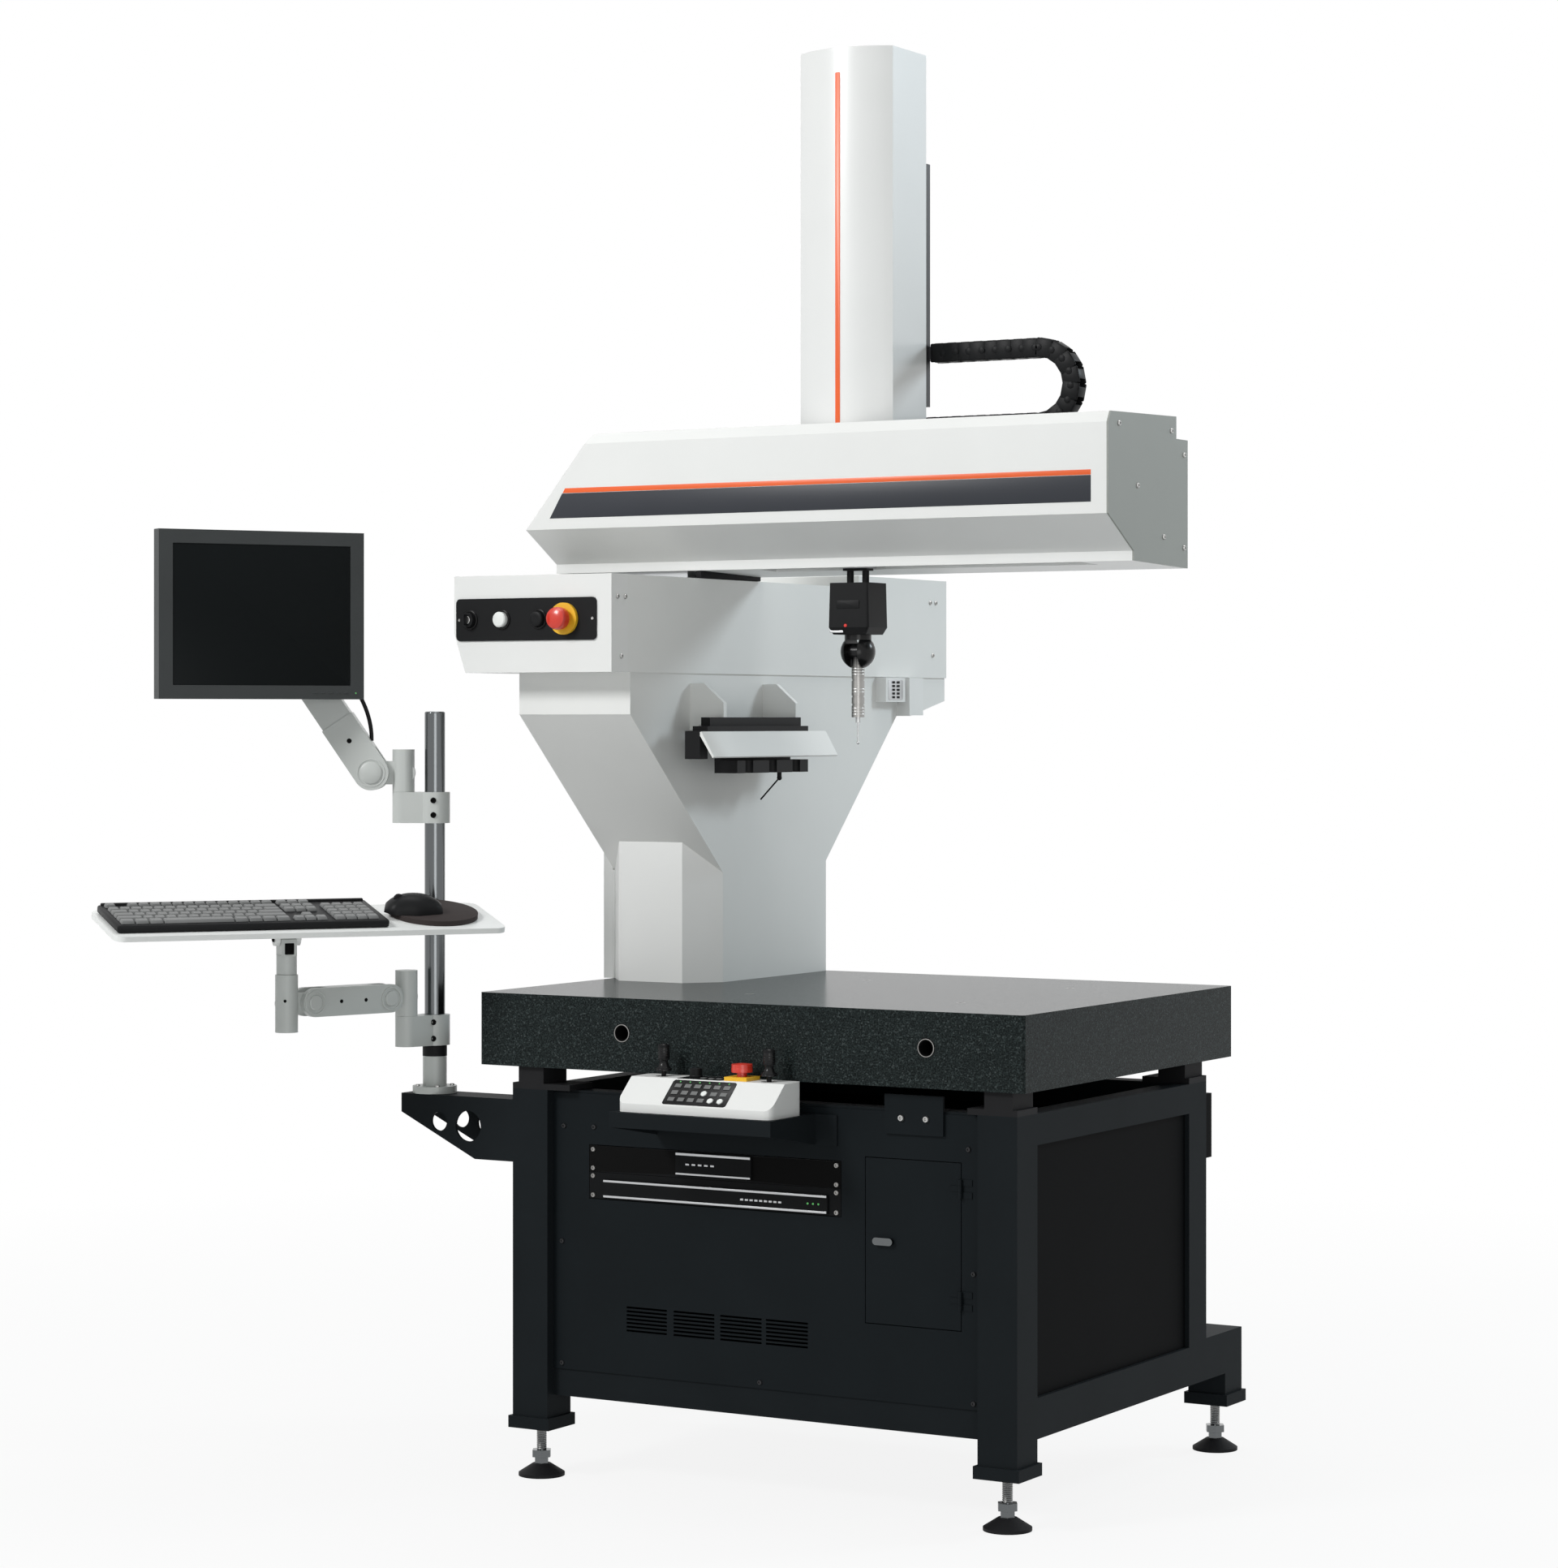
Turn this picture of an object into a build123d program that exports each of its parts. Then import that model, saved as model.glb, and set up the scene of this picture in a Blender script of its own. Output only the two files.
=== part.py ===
from build123d import *
import os
from math import atan2, cos, degrees, hypot, radians, sin

# Cantilever coordinate measuring machine with its operator station, in millimetres.
# +X runs along the beam, +Y to the back and +Z up, and the floor is z = 0.
# X and Y values below are measured from the middle of the granite table.

# Where the middle of the table lies in the frame of the whole workstation
TABLE_X = 212
TABLE_Y = 64

# Granite table with its lifting bushes and threaded inserts
TABLE_WIDTH = 1030
TABLE_DEPTH = 790
TABLE_THICK = 122
TABLE_TOP = 813
TABLE_BOTTOM = TABLE_TOP - TABLE_THICK
LIFT_X = (-230, 341)
LIFT_Z = TABLE_TOP - 58
LIFT_BORE_R = 12
LIFT_BUSH_R = 16
LIFT_DEPTH = 80
INSERT_SPACING = 400
INSERT_MID_X = 100
INSERT_R = 8
INSERT_BORE_R = 3.4
INSERT_DEPTH = 30

# Stand: legs, rails, rear outriggers and feet
LEG = 70
LEG_WALL = 4
STAND_LEFT = -454
STAND_RIGHT = 498
FRONT_INSET = 9
BACK_INSET = 70
STAND_FRONT = -TABLE_DEPTH / 2 + FRONT_INSET
STAND_BACK = TABLE_DEPTH / 2 - BACK_INSET
PAD_HEIGHT = 38
LEG_TOP = TABLE_BOTTOM - PAD_HEIGHT
FOOT_PLATE = 81
FOOT_PLATE_Z = 83
FOOT_PLATE_THICK = 20
RAIL_Z = 140
RAIL_HEIGHT = 65
RAIL_THICK = 40
TOP_RAIL = 50
STEP_REACH = 149
STEP_BACK = STAND_BACK + STEP_REACH
STEP_TOP = 212
FOOT_R = 39
FOOT_HEIGHT = 20
STUD_R = 8
NUT_WIDTH = 30

# Front panel with rack opening, louvres, door opening and table stop
PANEL_RECESS = 18
PANEL_FRONT = STAND_FRONT + PANEL_RECESS
PANEL_THICK = 3
PANEL_Z = (186, LEG_TOP - 4)
RACK_LEFT = -311.3
RACK_WIDTH = 482.6
RACK_UNIT = 44.45
RACK_Z = 475
RACK_LIP = 12
VENT_LEFT = (-238, -146, -56, 31)
VENT_WIDTH = 79
VENT_Z = 279
VENT_SLOT = 3.4
VENT_PITCH = 6.4
VENT_ROWS = 7
DOOR_X = (217, 389)
DOOR_Z = (309, 573)
DOOR_GAP = 1.5
DOOR_THICK = 2.5
HINGE_Z = (DOOR_Z[0] + 47, DOOR_Z[1] - 40)
HINGE_R = 3.5
HINGE_PIN_R = 2
HINGE_KNUCKLE = 10
LATCH_X = DOOR_X[0] + 34
LATCH_Z = (DOOR_Z[0] + DOOR_Z[1]) / 2
STOP_X = (254, 360)
STOP_Z = (LEG_TOP - 39, LEG_TOP + 24)

# Joystick shelf and box
BOX_X = (-172, 118)
BOX_CLEAR = 3
BOX_DEEP = 102
BOX_HIGH = 54
BOX_BACK = -TABLE_DEPTH / 2 - BOX_CLEAR
BOX_FRONT = BOX_BACK - BOX_DEEP
SHELF_MARGIN = 7
SHELF_DROP = 53
SHELF_X = (BOX_X[0] - SHELF_MARGIN, BOX_X[1] + SHELF_MARGIN)
SHELF_FRONT = BOX_FRONT - SHELF_MARGIN - 5
SHELF_TOP = TABLE_BOTTOM - SHELF_DROP
SHELF_LIP = 25
SHEET = 3
BOX_TOP = SHELF_TOP + BOX_HIGH
BOX_NOSE = 14
BOX_FLAT = 57
BOX_WALL = 3
STICK_X = (BOX_X[0] + 45, BOX_X[1] - 45)
STICK_Y = BOX_BACK - 30
STICK_DROP = 14
STICK_HOLE_R = 13
BOX_STOP_X = STICK_X[1] - 51
KNOB_X = STICK_X[0] + 62

# Column, Y housing and control box
COLUMN_X = (-516, -290)
COLUMN_FRONT = 24
COLUMN_BACK = 386
COLUMN_WALL = 12
FLARE_FRONT = -276
FLARE_Z = (1005, 1282)
HOUSING_Z = 1353
HOUSING_HIGH = 165
HOUSING_TOP = HOUSING_Z + HOUSING_HIGH
HOUSING_REAR_TOP = HOUSING_TOP + 22
HOUSING_STEP = 4
HOUSING_RIGHT = COLUMN_X[1] + HOUSING_STEP
HOUSING_LEFT = -590
HOUSING_FRONT = -290
HOUSING_BACK = 846
HOUSING_WALL = 15
TROUGH_Z = HOUSING_TOP - 38
TROUGH_Y = (-262, 490)
COVER_FRONT = -34
COVER_FLAT = (-469, -338)
SIDE_COVER = 19
CONTROL_FRONT = -340
CONTROL_LEFT = -607
CONTROL_WALL = 3
PLATE_X = (-601, -315)
BUTTON_Z = HOUSING_TOP - 75
PLATE_Z = (BUTTON_Z - 36, BUTTON_Z + 36)
PLATE_THICK = 3
KEY_X = -573
START_X = -506
BLACK_X = -431
PANEL_STOP_X = -378
BUTTON_R = 13
BUTTON_GAP = 0.4
ESTOP_R = 19
ESTOP_NECK_R = 12
ESTOP_LIFT = 13
COLLAR_R = 27
COLLAR_THICK = 6

# Stylus rack and remote unit on the column's right face
RACK_ARM_Y = (-85, 160)
RACK_ARM_THICK = 10
RACK_RAIL_Z = HOUSING_Z - 76
SPARE_LONG = 54
UNIT_Y = (573, 648)
UNIT_Z = (HOUSING_Z - 47, HOUSING_Z - 1)
HOLDER_Y = (654, 708)
HOLDER_Z = HOUSING_Z - 72

# Beam and its guides
BEAM_FRONT = -150
BEAM_BACK = 155
BEAM_X = (-588, 538)
BEAM_WALL = 4
BEAM_GAP = 12
BEAM_HIGH = 247
BEAM_BOTTOM = HOUSING_TOP + BEAM_GAP
BEAM_TOP = BEAM_BOTTOM + BEAM_HIGH
CREASE_Z = BEAM_BOTTOM + 75
END_PLATE = 3
CASTING_Y = (48, 138)
CASTING_HIGH = 172
CASTING_Z = (BEAM_BOTTOM + 20, BEAM_BOTTOM + 20 + CASTING_HIGH)
CASTING_WALL = 10
CASTING_X = (-470, 528)
FOOT_X = (-560, -320)
FOOT_Y = (-45, 138)
Y_RAIL_X = (-530, -350)
Y_RAIL_Y = (-255, 482)
Y_RAIL_WIDTH = 20
Y_RAIL_HEIGHT = 14
X_RAIL_Z = (CASTING_Z[0] + 35, CASTING_Z[1] - 32)
X_RAIL_X = (-280, 515)
X_RAIL_WIDTH = 16
X_RAIL_HEIGHT = 12
SLIDE_GAP = 0.3
X_TRAVEL = (-150, 410)

# Tower, ram and probe
PROBE_X = 1
PROBE_Y = -10
TOWER_HALF = 90
TOWER_EDGE = -50
TOWER_CROWN = -80
TOWER_BACK = 68
TOWER_HIGH = 672
TOWER_WALL = 3
DECK_Z = (CASTING_Z[1] + 6, CASTING_Z[1] + 16)
TOWER_TOP = DECK_Z[1] + TOWER_HIGH
DUCT_TOP = TOWER_TOP - 185
DUCT_DEEP = 14
RAM = 46
RAM_WALL = 5
RAM_Z = (BEAM_BOTTOM + 1, TOWER_TOP - 20)
HEAD_HIGH = 88
HEAD_Z = (RAM_Z[0] - 25 - HEAD_HIGH, RAM_Z[0] - 25)
HEAD_WIDE = 78
HEAD_DEEP = 72
BALL_Z = HEAD_Z[0] - 29
BALL_R = 30
BALL_SLOT = 25.6
TILT_PIN_R = 4
PIVOT_GAP = 0.1
PROBE_R = 11
PROBE_LONG = 112
PROBE_END = BALL_Z - PROBE_LONG
STYLUS_LONG = 46
STYLUS_TIP = PROBE_END - STYLUS_LONG
STYLUS_BALL_R = 2.5

# Cable chain
CHAIN_Y = (74, 104)
CHAIN_THICK = 34
CHAIN_RISE = 126
CHAIN_Z = (BEAM_TOP - 2, BEAM_TOP - 2 + CHAIN_RISE)
CHAIN_BEND_X = 299
CHAIN_END_X = 60

# Pole with its bracket and clamps
POLE_X = -640
POLE_Y = STAND_FRONT + LEG / 2
POLE_R = 17.5
POLE_TOP = 1287
BRACKET_LEFT = -685
BRACKET_Z = (LEG_TOP - 124, LEG_TOP - 19)
BRACKET_SHEET = 5
FLANGE_R = 38
FLANGE_THICK = 12
SLEEVE_R = 20.5
SLEEVE_TOP = 697
CLAMP_R = 26
HUB_PIN_R = 9
HUB_R = 19

# Monitor on its gas-spring arm
SCREEN_CLAMP_Z = (1096, 1149)
SCREEN_HUB = 54
SCREEN_HUB_TURN = 207.5
SCREEN_SWIVEL_TOP = 1222
SCREEN_ARM_TURN = 211
SCREEN_PIVOT = 54
SCREEN_PIVOT_Z = 1182
SCREEN_REACH = 180
SCREEN_RISE = 267
SCREEN_ARM_HIGH = 56
SCREEN_ARM_WIDE = 40
ARM_SLEEVE = 105
ARM_SLEEVE_WALL = 2
LEAD_R = 3.5
TONGUE = 20
SCREEN_PAN = 62
SCREEN_TURN = 59
SCREEN_TILT = 50
SCREEN_BACK = 60
MONITOR_WIDE = 366
MONITOR_HIGH = 283
MONITOR_DEEP = 42
PANE_WIDE = 317
PANE_HIGH = 237

# Keyboard tray on its arm
TRAY_CLAMP_Z = (716, 768)
TRAY_HUB = 60
TRAY_ARM_TURN = 252
TRAY_SWIVEL_TOP = 846
TRAY_BOSS = 45
TRAY_POST = 245
TRAY_ARM_Z = 801
TRAY_ARM_HIGH = 48
TRAY_ARM_WIDE = 40
POST_R = 19
POST_Z = (753, 849)
TRAY_TURN = 55
TRAY_TILT = 12
TILT_Z = 908
TRAY_FORWARD = 30
TRAY_Z = 942
TRAY_SHIFT = 15
TRAY_WIDE = 670
TRAY_DEEP = 170
TRAY_THICK = 9
MAT_X = 250
MAT_Y = 9
MAT_R = 75
MAT_THICK = 8
KEYBOARD_X = -82
KEYBOARD_Y = 2
KEYBOARD_WIDE = 460
KEYBOARD_DEEP = 136
KEYBOARD_THICK = 14
KEY_PITCH = 19
MOUSE_X = 212
MOUSE_Y = 2
MOUSE_WIDE = 62
MOUSE_LONG = 105
MOUSE_HIGH = 31
MOUSE_CROWN = 18

MACHINE = Plane((TABLE_X, TABLE_Y, 0))


def level(z):
    """Horizontal plane at height z, to sketch in (x, y)."""
    return Plane((TABLE_X, TABLE_Y, z))


def facing_right(x):
    """Plane across X, to sketch in (y, z) and extrude towards +X."""
    return Plane((TABLE_X + x, TABLE_Y, 0), x_dir=(0, 1, 0), z_dir=(1, 0, 0))


def facing_front(y):
    """Plane across Y, to sketch in (x, z) and extrude towards -Y."""
    return Plane((TABLE_X, TABLE_Y + y, 0), x_dir=(1, 0, 0), z_dir=(0, -1, 0))


def turned(x, y, z, turn, tilt=0):
    """Plane turned about Z and then tilted so that its front edge drops."""
    a = radians(turn)
    t = radians(tilt)
    return Plane((TABLE_X + x, TABLE_Y + y, z), x_dir=(cos(a), sin(a), 0),
                 z_dir=(sin(a) * sin(t), -cos(a) * sin(t), cos(t)))


def upright(x, y, turn):
    """Vertical plane along a turned arm, to sketch in (reach, z)."""
    a = radians(turn)
    return Plane((TABLE_X + x, TABLE_Y + y, 0), x_dir=(cos(a), sin(a), 0),
                 z_dir=(sin(a), -cos(a), 0))


def leaning(plane, origin, lean):
    """The same upright plane with its origin moved and its X axis raised by lean."""
    along = plane.x_dir * cos(radians(lean)) + plane.y_dir * sin(radians(lean))
    return Plane(plane.from_local_coords((*origin, 0)), x_dir=along, z_dir=plane.z_dir)


def ahead(x, y, turn, reach):
    """Point that lies reach away from (x, y) in the direction turn."""
    return x + reach * cos(radians(turn)), y + reach * sin(radians(turn))


def slab(x, y, z, mode=Mode.ADD, frame=MACHINE):
    """Box between the (low, high) pairs x, y and z of a frame."""
    middle = Location(((x[0] + x[1]) / 2, (y[0] + y[1]) / 2, (z[0] + z[1]) / 2))
    with Locations(frame.location * middle):
        Box(abs(x[1] - x[0]), abs(y[1] - y[0]), abs(z[1] - z[0]), mode=mode)


def rod(base, axis, radius, length, mode=Mode.ADD, frame=MACHINE):
    """Cylinder that starts at base and runs along axis in a frame."""
    with Locations(frame.location * Plane(base, z_dir=axis).location):
        Cylinder(radius, length, align=(Align.CENTER, Align.CENTER, Align.MIN), mode=mode)


def prism(plane, points, amount, mode=Mode.ADD):
    """Straight-edged outline on a plane, extruded."""
    with BuildSketch(plane) as outline:
        with BuildLine():
            Polyline(*points, close=True)
        make_face()
    extrude(outline.sketch, amount=amount, mode=mode)


def bar(plane, start, end, wide, thick, mode=Mode.ADD):
    """Round-ended bar between two points of a plane, thick to both sides of it."""
    run = (end[0] - start[0], end[1] - start[1])
    with BuildSketch(plane) as outline:
        with Locations(((start[0] + end[0]) / 2, (start[1] + end[1]) / 2)):
            SlotCenterToCenter(hypot(*run), wide, rotation=degrees(atan2(run[1], run[0])))
    extrude(outline.sketch, amount=thick / 2, both=True, mode=mode)


def nut(x, y, z, wide, high):
    """Hexagon of the given width across its flats."""
    with BuildSketch(level(z)) as outline:
        with Locations((x, y)):
            RegularPolygon(wide / 2, 6, major_radius=False)
    extrude(outline.sketch, amount=high)


LEG_X = ((STAND_LEFT, STAND_LEFT + LEG), (STAND_RIGHT - LEG, STAND_RIGHT))
LEG_FRONT_Y = (STAND_FRONT, STAND_FRONT + LEG)
LEG_BACK_Y = (STAND_BACK - LEG, STAND_BACK)
STUB_Y = (STEP_BACK - LEG, STEP_BACK)
LEG_BOTTOM = FOOT_PLATE_Z + FOOT_PLATE_THICK
BETWEEN_X = (LEG_X[0][1], LEG_X[1][0])
BETWEEN_Y = (LEG_FRONT_Y[1], LEG_BACK_Y[0])
FEET = [(sum(x) / 2, sum(y) / 2) for x in LEG_X for y in (LEG_FRONT_Y, STUB_Y)]
PANEL_BACK = PANEL_FRONT + PANEL_THICK

with BuildPart() as stand_frame:
    for leg_x in LEG_X:
        slab(leg_x, LEG_FRONT_Y, (LEG_BOTTOM, LEG_TOP))
        slab(leg_x, LEG_BACK_Y, (RAIL_Z, LEG_TOP))
        inner_x = (leg_x[0] + LEG_WALL, leg_x[1] - LEG_WALL)
        for leg_y in (LEG_FRONT_Y, LEG_BACK_Y):
            inner_y = (leg_y[0] + LEG_WALL, leg_y[1] - LEG_WALL)
            slab(inner_x, inner_y, (RAIL_Z + RAIL_HEIGHT, LEG_TOP - LEG_WALL), mode=Mode.SUBTRACT)
        slab(leg_x, (STAND_BACK, STEP_BACK), (RAIL_Z, STEP_TOP))
        slab(leg_x, STUB_Y, (LEG_BOTTOM, RAIL_Z))
    for rail_z in ((RAIL_Z, RAIL_Z + RAIL_HEIGHT), (LEG_TOP - TOP_RAIL, LEG_TOP)):
        slab(BETWEEN_X, (PANEL_BACK, PANEL_BACK + RAIL_THICK), rail_z)
        slab(BETWEEN_X, (STAND_BACK - 20 - RAIL_THICK, STAND_BACK - 20), rail_z)
        slab((STAND_LEFT, STAND_LEFT + RAIL_THICK), BETWEEN_Y, rail_z)
        slab((STAND_RIGHT - RAIL_THICK, STAND_RIGHT), BETWEEN_Y, rail_z)
    for foot_x, foot_y in FEET:
        half = FOOT_PLATE / 2
        slab((foot_x - half, foot_x + half), (foot_y - half, foot_y + half), (FOOT_PLATE_Z, LEG_BOTTOM))
        rod((foot_x, foot_y, FOOT_PLATE_Z), (0, 0, 1), STUD_R, 40, mode=Mode.SUBTRACT)

with BuildPart() as rubber_pads:
    for leg_x, pad in ((LEG_X[0], (0, 45)), (LEG_X[1], (-18, 0))):
        for leg_y in (LEG_FRONT_Y, LEG_BACK_Y):
            slab((leg_x[0] + pad[0], leg_x[1] + pad[1]), leg_y, (LEG_TOP, LEG_TOP + 10))
            slab((leg_x[0] + 12, leg_x[1] - 8), leg_y, (LEG_TOP + 10, TABLE_BOTTOM))
    for foot_x, foot_y in FEET:
        rod((foot_x, foot_y, 0), (0, 0, 1), FOOT_R, 5)
        with Locations((TABLE_X + foot_x, TABLE_Y + foot_y, 5)):
            Cone(FOOT_R, FOOT_R * 0.4, FOOT_HEIGHT - 5,
                 align=(Align.CENTER, Align.CENTER, Align.MIN))

with BuildPart() as foot_studs:
    for foot_x, foot_y in FEET:
        rod((foot_x, foot_y, FOOT_HEIGHT), (0, 0, 1), STUD_R, FOOT_PLATE_Z + 40 - FOOT_HEIGHT)
        nut(foot_x, foot_y, FOOT_HEIGHT, 22, 10)
        nut(foot_x, foot_y, FOOT_HEIGHT + 11, NUT_WIDTH, 12)

RACK_X = (RACK_LEFT, RACK_LEFT + RACK_WIDTH)
RACK_TOP = RACK_Z + 2 * RACK_UNIT

with BuildPart() as front_panel:
    slab((BETWEEN_X[0] + 0.5, BETWEEN_X[1] - 0.5), (PANEL_FRONT, PANEL_BACK), PANEL_Z)
    slab((RACK_X[0] - 1, RACK_X[1] + 1), (PANEL_FRONT, PANEL_BACK), (RACK_Z - 1, RACK_TOP + 1),
         mode=Mode.SUBTRACT)
    slab((DOOR_X[0] - DOOR_GAP, DOOR_X[1] + DOOR_GAP), (PANEL_FRONT, PANEL_BACK),
         (DOOR_Z[0] - DOOR_GAP, DOOR_Z[1] + DOOR_GAP), mode=Mode.SUBTRACT)
    with BuildSketch(facing_front(PANEL_BACK)):
        for vent_left in VENT_LEFT:
            with Locations((vent_left + VENT_WIDTH / 2, VENT_Z)):
                with GridLocations(1, VENT_PITCH, 1, VENT_ROWS):
                    Rectangle(VENT_WIDTH, VENT_SLOT)
    extrude(amount=PANEL_THICK, mode=Mode.SUBTRACT)
    for lip_x in ((RACK_X[0] - 14, RACK_X[0] + RACK_LIP), (RACK_X[1] - RACK_LIP, RACK_X[1] + 14)):
        slab(lip_x, (PANEL_BACK, PANEL_BACK + 3), (RACK_Z - 8, RACK_TOP + 8))
    slab(STOP_X, (PANEL_FRONT - 5, PANEL_FRONT), STOP_Z)

with BuildPart() as rack_units:
    for unit, body in ((0, (RACK_X[0] + 28, RACK_X[1] - 24)), (1, (-150, 15))):
        low = RACK_Z + unit * RACK_UNIT + 0.3
        high = RACK_Z + (unit + 1) * RACK_UNIT - 0.3
        slab(RACK_X, (PANEL_FRONT, PANEL_BACK), (low, high))
        slab(body, (PANEL_BACK, PANEL_BACK + 220), (low + 2, high - 2))
        slab((body[0] + 2, body[1] - 2), (PANEL_BACK + 2, PANEL_BACK + 218), (low + 4, high - 4),
             mode=Mode.SUBTRACT)
    slab((RACK_X[0] + 29.3, RACK_X[1] - 23), (PANEL_FRONT - 4, PANEL_FRONT), (RACK_Z + 3, RACK_Z + 33))
    slab((-140, 5), (PANEL_FRONT - 4, PANEL_FRONT), (RACK_Z + 49, RACK_Z + 87))

with BuildPart() as cabinet_panels:
    for side_x in ((STAND_LEFT + 8, STAND_LEFT + 10), (STAND_RIGHT - 10, STAND_RIGHT - 8)):
        slab(side_x, BETWEEN_Y, (RAIL_Z + RAIL_HEIGHT, LEG_TOP - TOP_RAIL))
    slab(BETWEEN_X, (STAND_BACK - 32, STAND_BACK - 30), (RAIL_Z + RAIL_HEIGHT, LEG_TOP - TOP_RAIL))
    slab((STAND_RIGHT - 62, STAND_RIGHT), (STAND_BACK, STAND_BACK + 22), (LEG_TOP - 132, LEG_TOP - 22))
    # Lead from the top rail, over its edge and through the right side panel
    rail_mid = STAND_RIGHT - RAIL_THICK / 2
    lead_x = STAND_RIGHT + 7
    lead_y = STAND_BACK - 135
    with BuildLine(MACHINE) as lead:
        Spline((rail_mid, lead_y - 170, LEG_TOP), (rail_mid + 4, lead_y - 156, LEG_TOP + 22),
               (lead_x - 2, lead_y - 124, LEG_TOP + 22), (lead_x + 3, lead_y - 85, LEG_TOP - 4),
               (lead_x + 3, lead_y - 40, LEG_TOP - 32), (lead_x + 3, lead_y, LEG_TOP - 56),
               (lead_x + 3, lead_y + 18, LEG_TOP - 80), (lead_x + 1, lead_y + 19, LEG_TOP - 104),
               (STAND_RIGHT - 9, lead_y, LEG_TOP - 124), tangents=((0, 0, 1), (-1, -0.5, -0.2)))
    with BuildSketch(Plane(lead.line @ 0, z_dir=lead.line % 0)) as lead_round:
        Circle(LEAD_R)
    sweep(lead_round.sketch, path=lead.line)

HINGE_X = DOOR_X[1] + DOOR_GAP / 2
HINGE_Y = PANEL_FRONT - HINGE_R

with BuildPart() as access_door:
    slab(DOOR_X, (PANEL_FRONT, PANEL_FRONT + DOOR_THICK), DOOR_Z)
    rod((LATCH_X, PANEL_FRONT, LATCH_Z), (0, 1, 0), 4 + PIVOT_GAP, DOOR_THICK, mode=Mode.SUBTRACT)
    for hinge_z in HINGE_Z:
        half = HINGE_KNUCKLE / 2 - SLIDE_GAP
        slab((HINGE_X - 20, HINGE_X), (PANEL_FRONT - 1.5, PANEL_FRONT), (hinge_z - half, hinge_z + half))
        rod((HINGE_X, HINGE_Y, hinge_z - half), (0, 0, 1), HINGE_R, 2 * half)
        rod((HINGE_X, HINGE_Y, hinge_z - half), (0, 0, 1), HINGE_PIN_R + PIVOT_GAP, 2 * half,
            mode=Mode.SUBTRACT)

with BuildPart() as door_hinges:
    for hinge_z in HINGE_Z:
        half = HINGE_KNUCKLE / 2
        for low in (hinge_z - half - HINGE_KNUCKLE, hinge_z + half):
            leaf_x = (HINGE_X + DOOR_GAP / 2, HINGE_X + 20)
            slab(leaf_x, (PANEL_FRONT - 1.5, PANEL_FRONT), (low, low + HINGE_KNUCKLE))
            rod((HINGE_X, HINGE_Y, low), (0, 0, 1), HINGE_R, HINGE_KNUCKLE)
        rod((HINGE_X, HINGE_Y, hinge_z - half), (0, 0, 1), HINGE_PIN_R, 2 * half)

with BuildPart() as door_latch:
    bar(facing_front(PANEL_FRONT - 4), (LATCH_X - 12, LATCH_Z), (LATCH_X + 12, LATCH_Z), 12, 7)
    rod((LATCH_X, PANEL_FRONT - 4, LATCH_Z), (0, 1, 0), 4, 8 + DOOR_THICK)
    rod((LATCH_X, PANEL_FRONT + DOOR_THICK + 0.5, LATCH_Z), (0, 1, 0), 8, 3)

with BuildPart() as joystick_shelf:
    slab(SHELF_X, (SHELF_FRONT, PANEL_FRONT), (SHELF_TOP - SHEET, SHELF_TOP))
    slab(SHELF_X, (SHELF_FRONT, SHELF_FRONT + SHEET), (SHELF_TOP - SHELF_LIP, SHELF_TOP))
    for lip_x in (SHELF_X[0], SHELF_X[1] - SHEET):
        prism(facing_right(lip_x),
              ((SHELF_FRONT, SHELF_TOP), (SHELF_FRONT, SHELF_TOP - SHELF_LIP),
               (PANEL_FRONT, SHELF_TOP - 2 * SHELF_LIP), (PANEL_FRONT, SHELF_TOP)), SHEET)
    slab((SHELF_X[0], SHELF_X[1] + 40), (PANEL_FRONT - SHEET, PANEL_FRONT),
         (SHELF_TOP - 2 * SHELF_LIP, SHELF_TOP))

BOX_SLOPE_Y = BOX_BACK - BOX_FLAT

with BuildPart() as joystick_box:
    prism(facing_right(BOX_X[0]),
          ((BOX_FRONT, SHELF_TOP), (BOX_FRONT, SHELF_TOP + BOX_NOSE), (BOX_SLOPE_Y, BOX_TOP),
           (BOX_BACK, BOX_TOP), (BOX_BACK, SHELF_TOP)), BOX_X[1] - BOX_X[0])
    fillet(joystick_box.edges().filter_by(Axis.Z), radius=14)
    offset(amount=-BOX_WALL, openings=joystick_box.faces().sort_by(Axis.Z)[0])
    PIVOT_Z = BOX_TOP - STICK_DROP
    for stick_x in STICK_X:
        rod((stick_x, STICK_Y, BOX_TOP - 5), (0, 0, 1), STICK_HOLE_R, 10, mode=Mode.SUBTRACT)
        for side in (-1, 1):
            post_x = (stick_x + side * 19, stick_x + side * 24)
            slab(post_x, (STICK_Y - 5, STICK_Y + 5), (PIVOT_Z - 5, BOX_TOP - BOX_WALL))
            rod((min(post_x), STICK_Y, PIVOT_Z), (1, 0, 0), 2.5 + PIVOT_GAP, 5, mode=Mode.SUBTRACT)
    rod((BOX_STOP_X, STICK_Y, BOX_TOP - 5), (0, 0, 1), 8 + BUTTON_GAP, 10, mode=Mode.SUBTRACT)
    rod((KNOB_X, STICK_Y, BOX_TOP - 5), (0, 0, 1), 3 + PIVOT_GAP, 10, mode=Mode.SUBTRACT)

with BuildPart() as left_gimbal:
    rod((STICK_X[0], STICK_Y, PIVOT_Z - 4), (0, 0, 1), 14, 8)
    rod((STICK_X[0], STICK_Y, PIVOT_Z - 4), (0, 0, 1), 9, 8, mode=Mode.SUBTRACT)
    rod((STICK_X[0] + 12, STICK_Y, PIVOT_Z), (1, 0, 0), 2.5, 12)
    rod((STICK_X[0] - 24, STICK_Y, PIVOT_Z), (1, 0, 0), 2.5, 12)
    rod((STICK_X[0], STICK_Y - 20, PIVOT_Z), (0, 1, 0), 2 + PIVOT_GAP, 40, mode=Mode.SUBTRACT)

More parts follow.
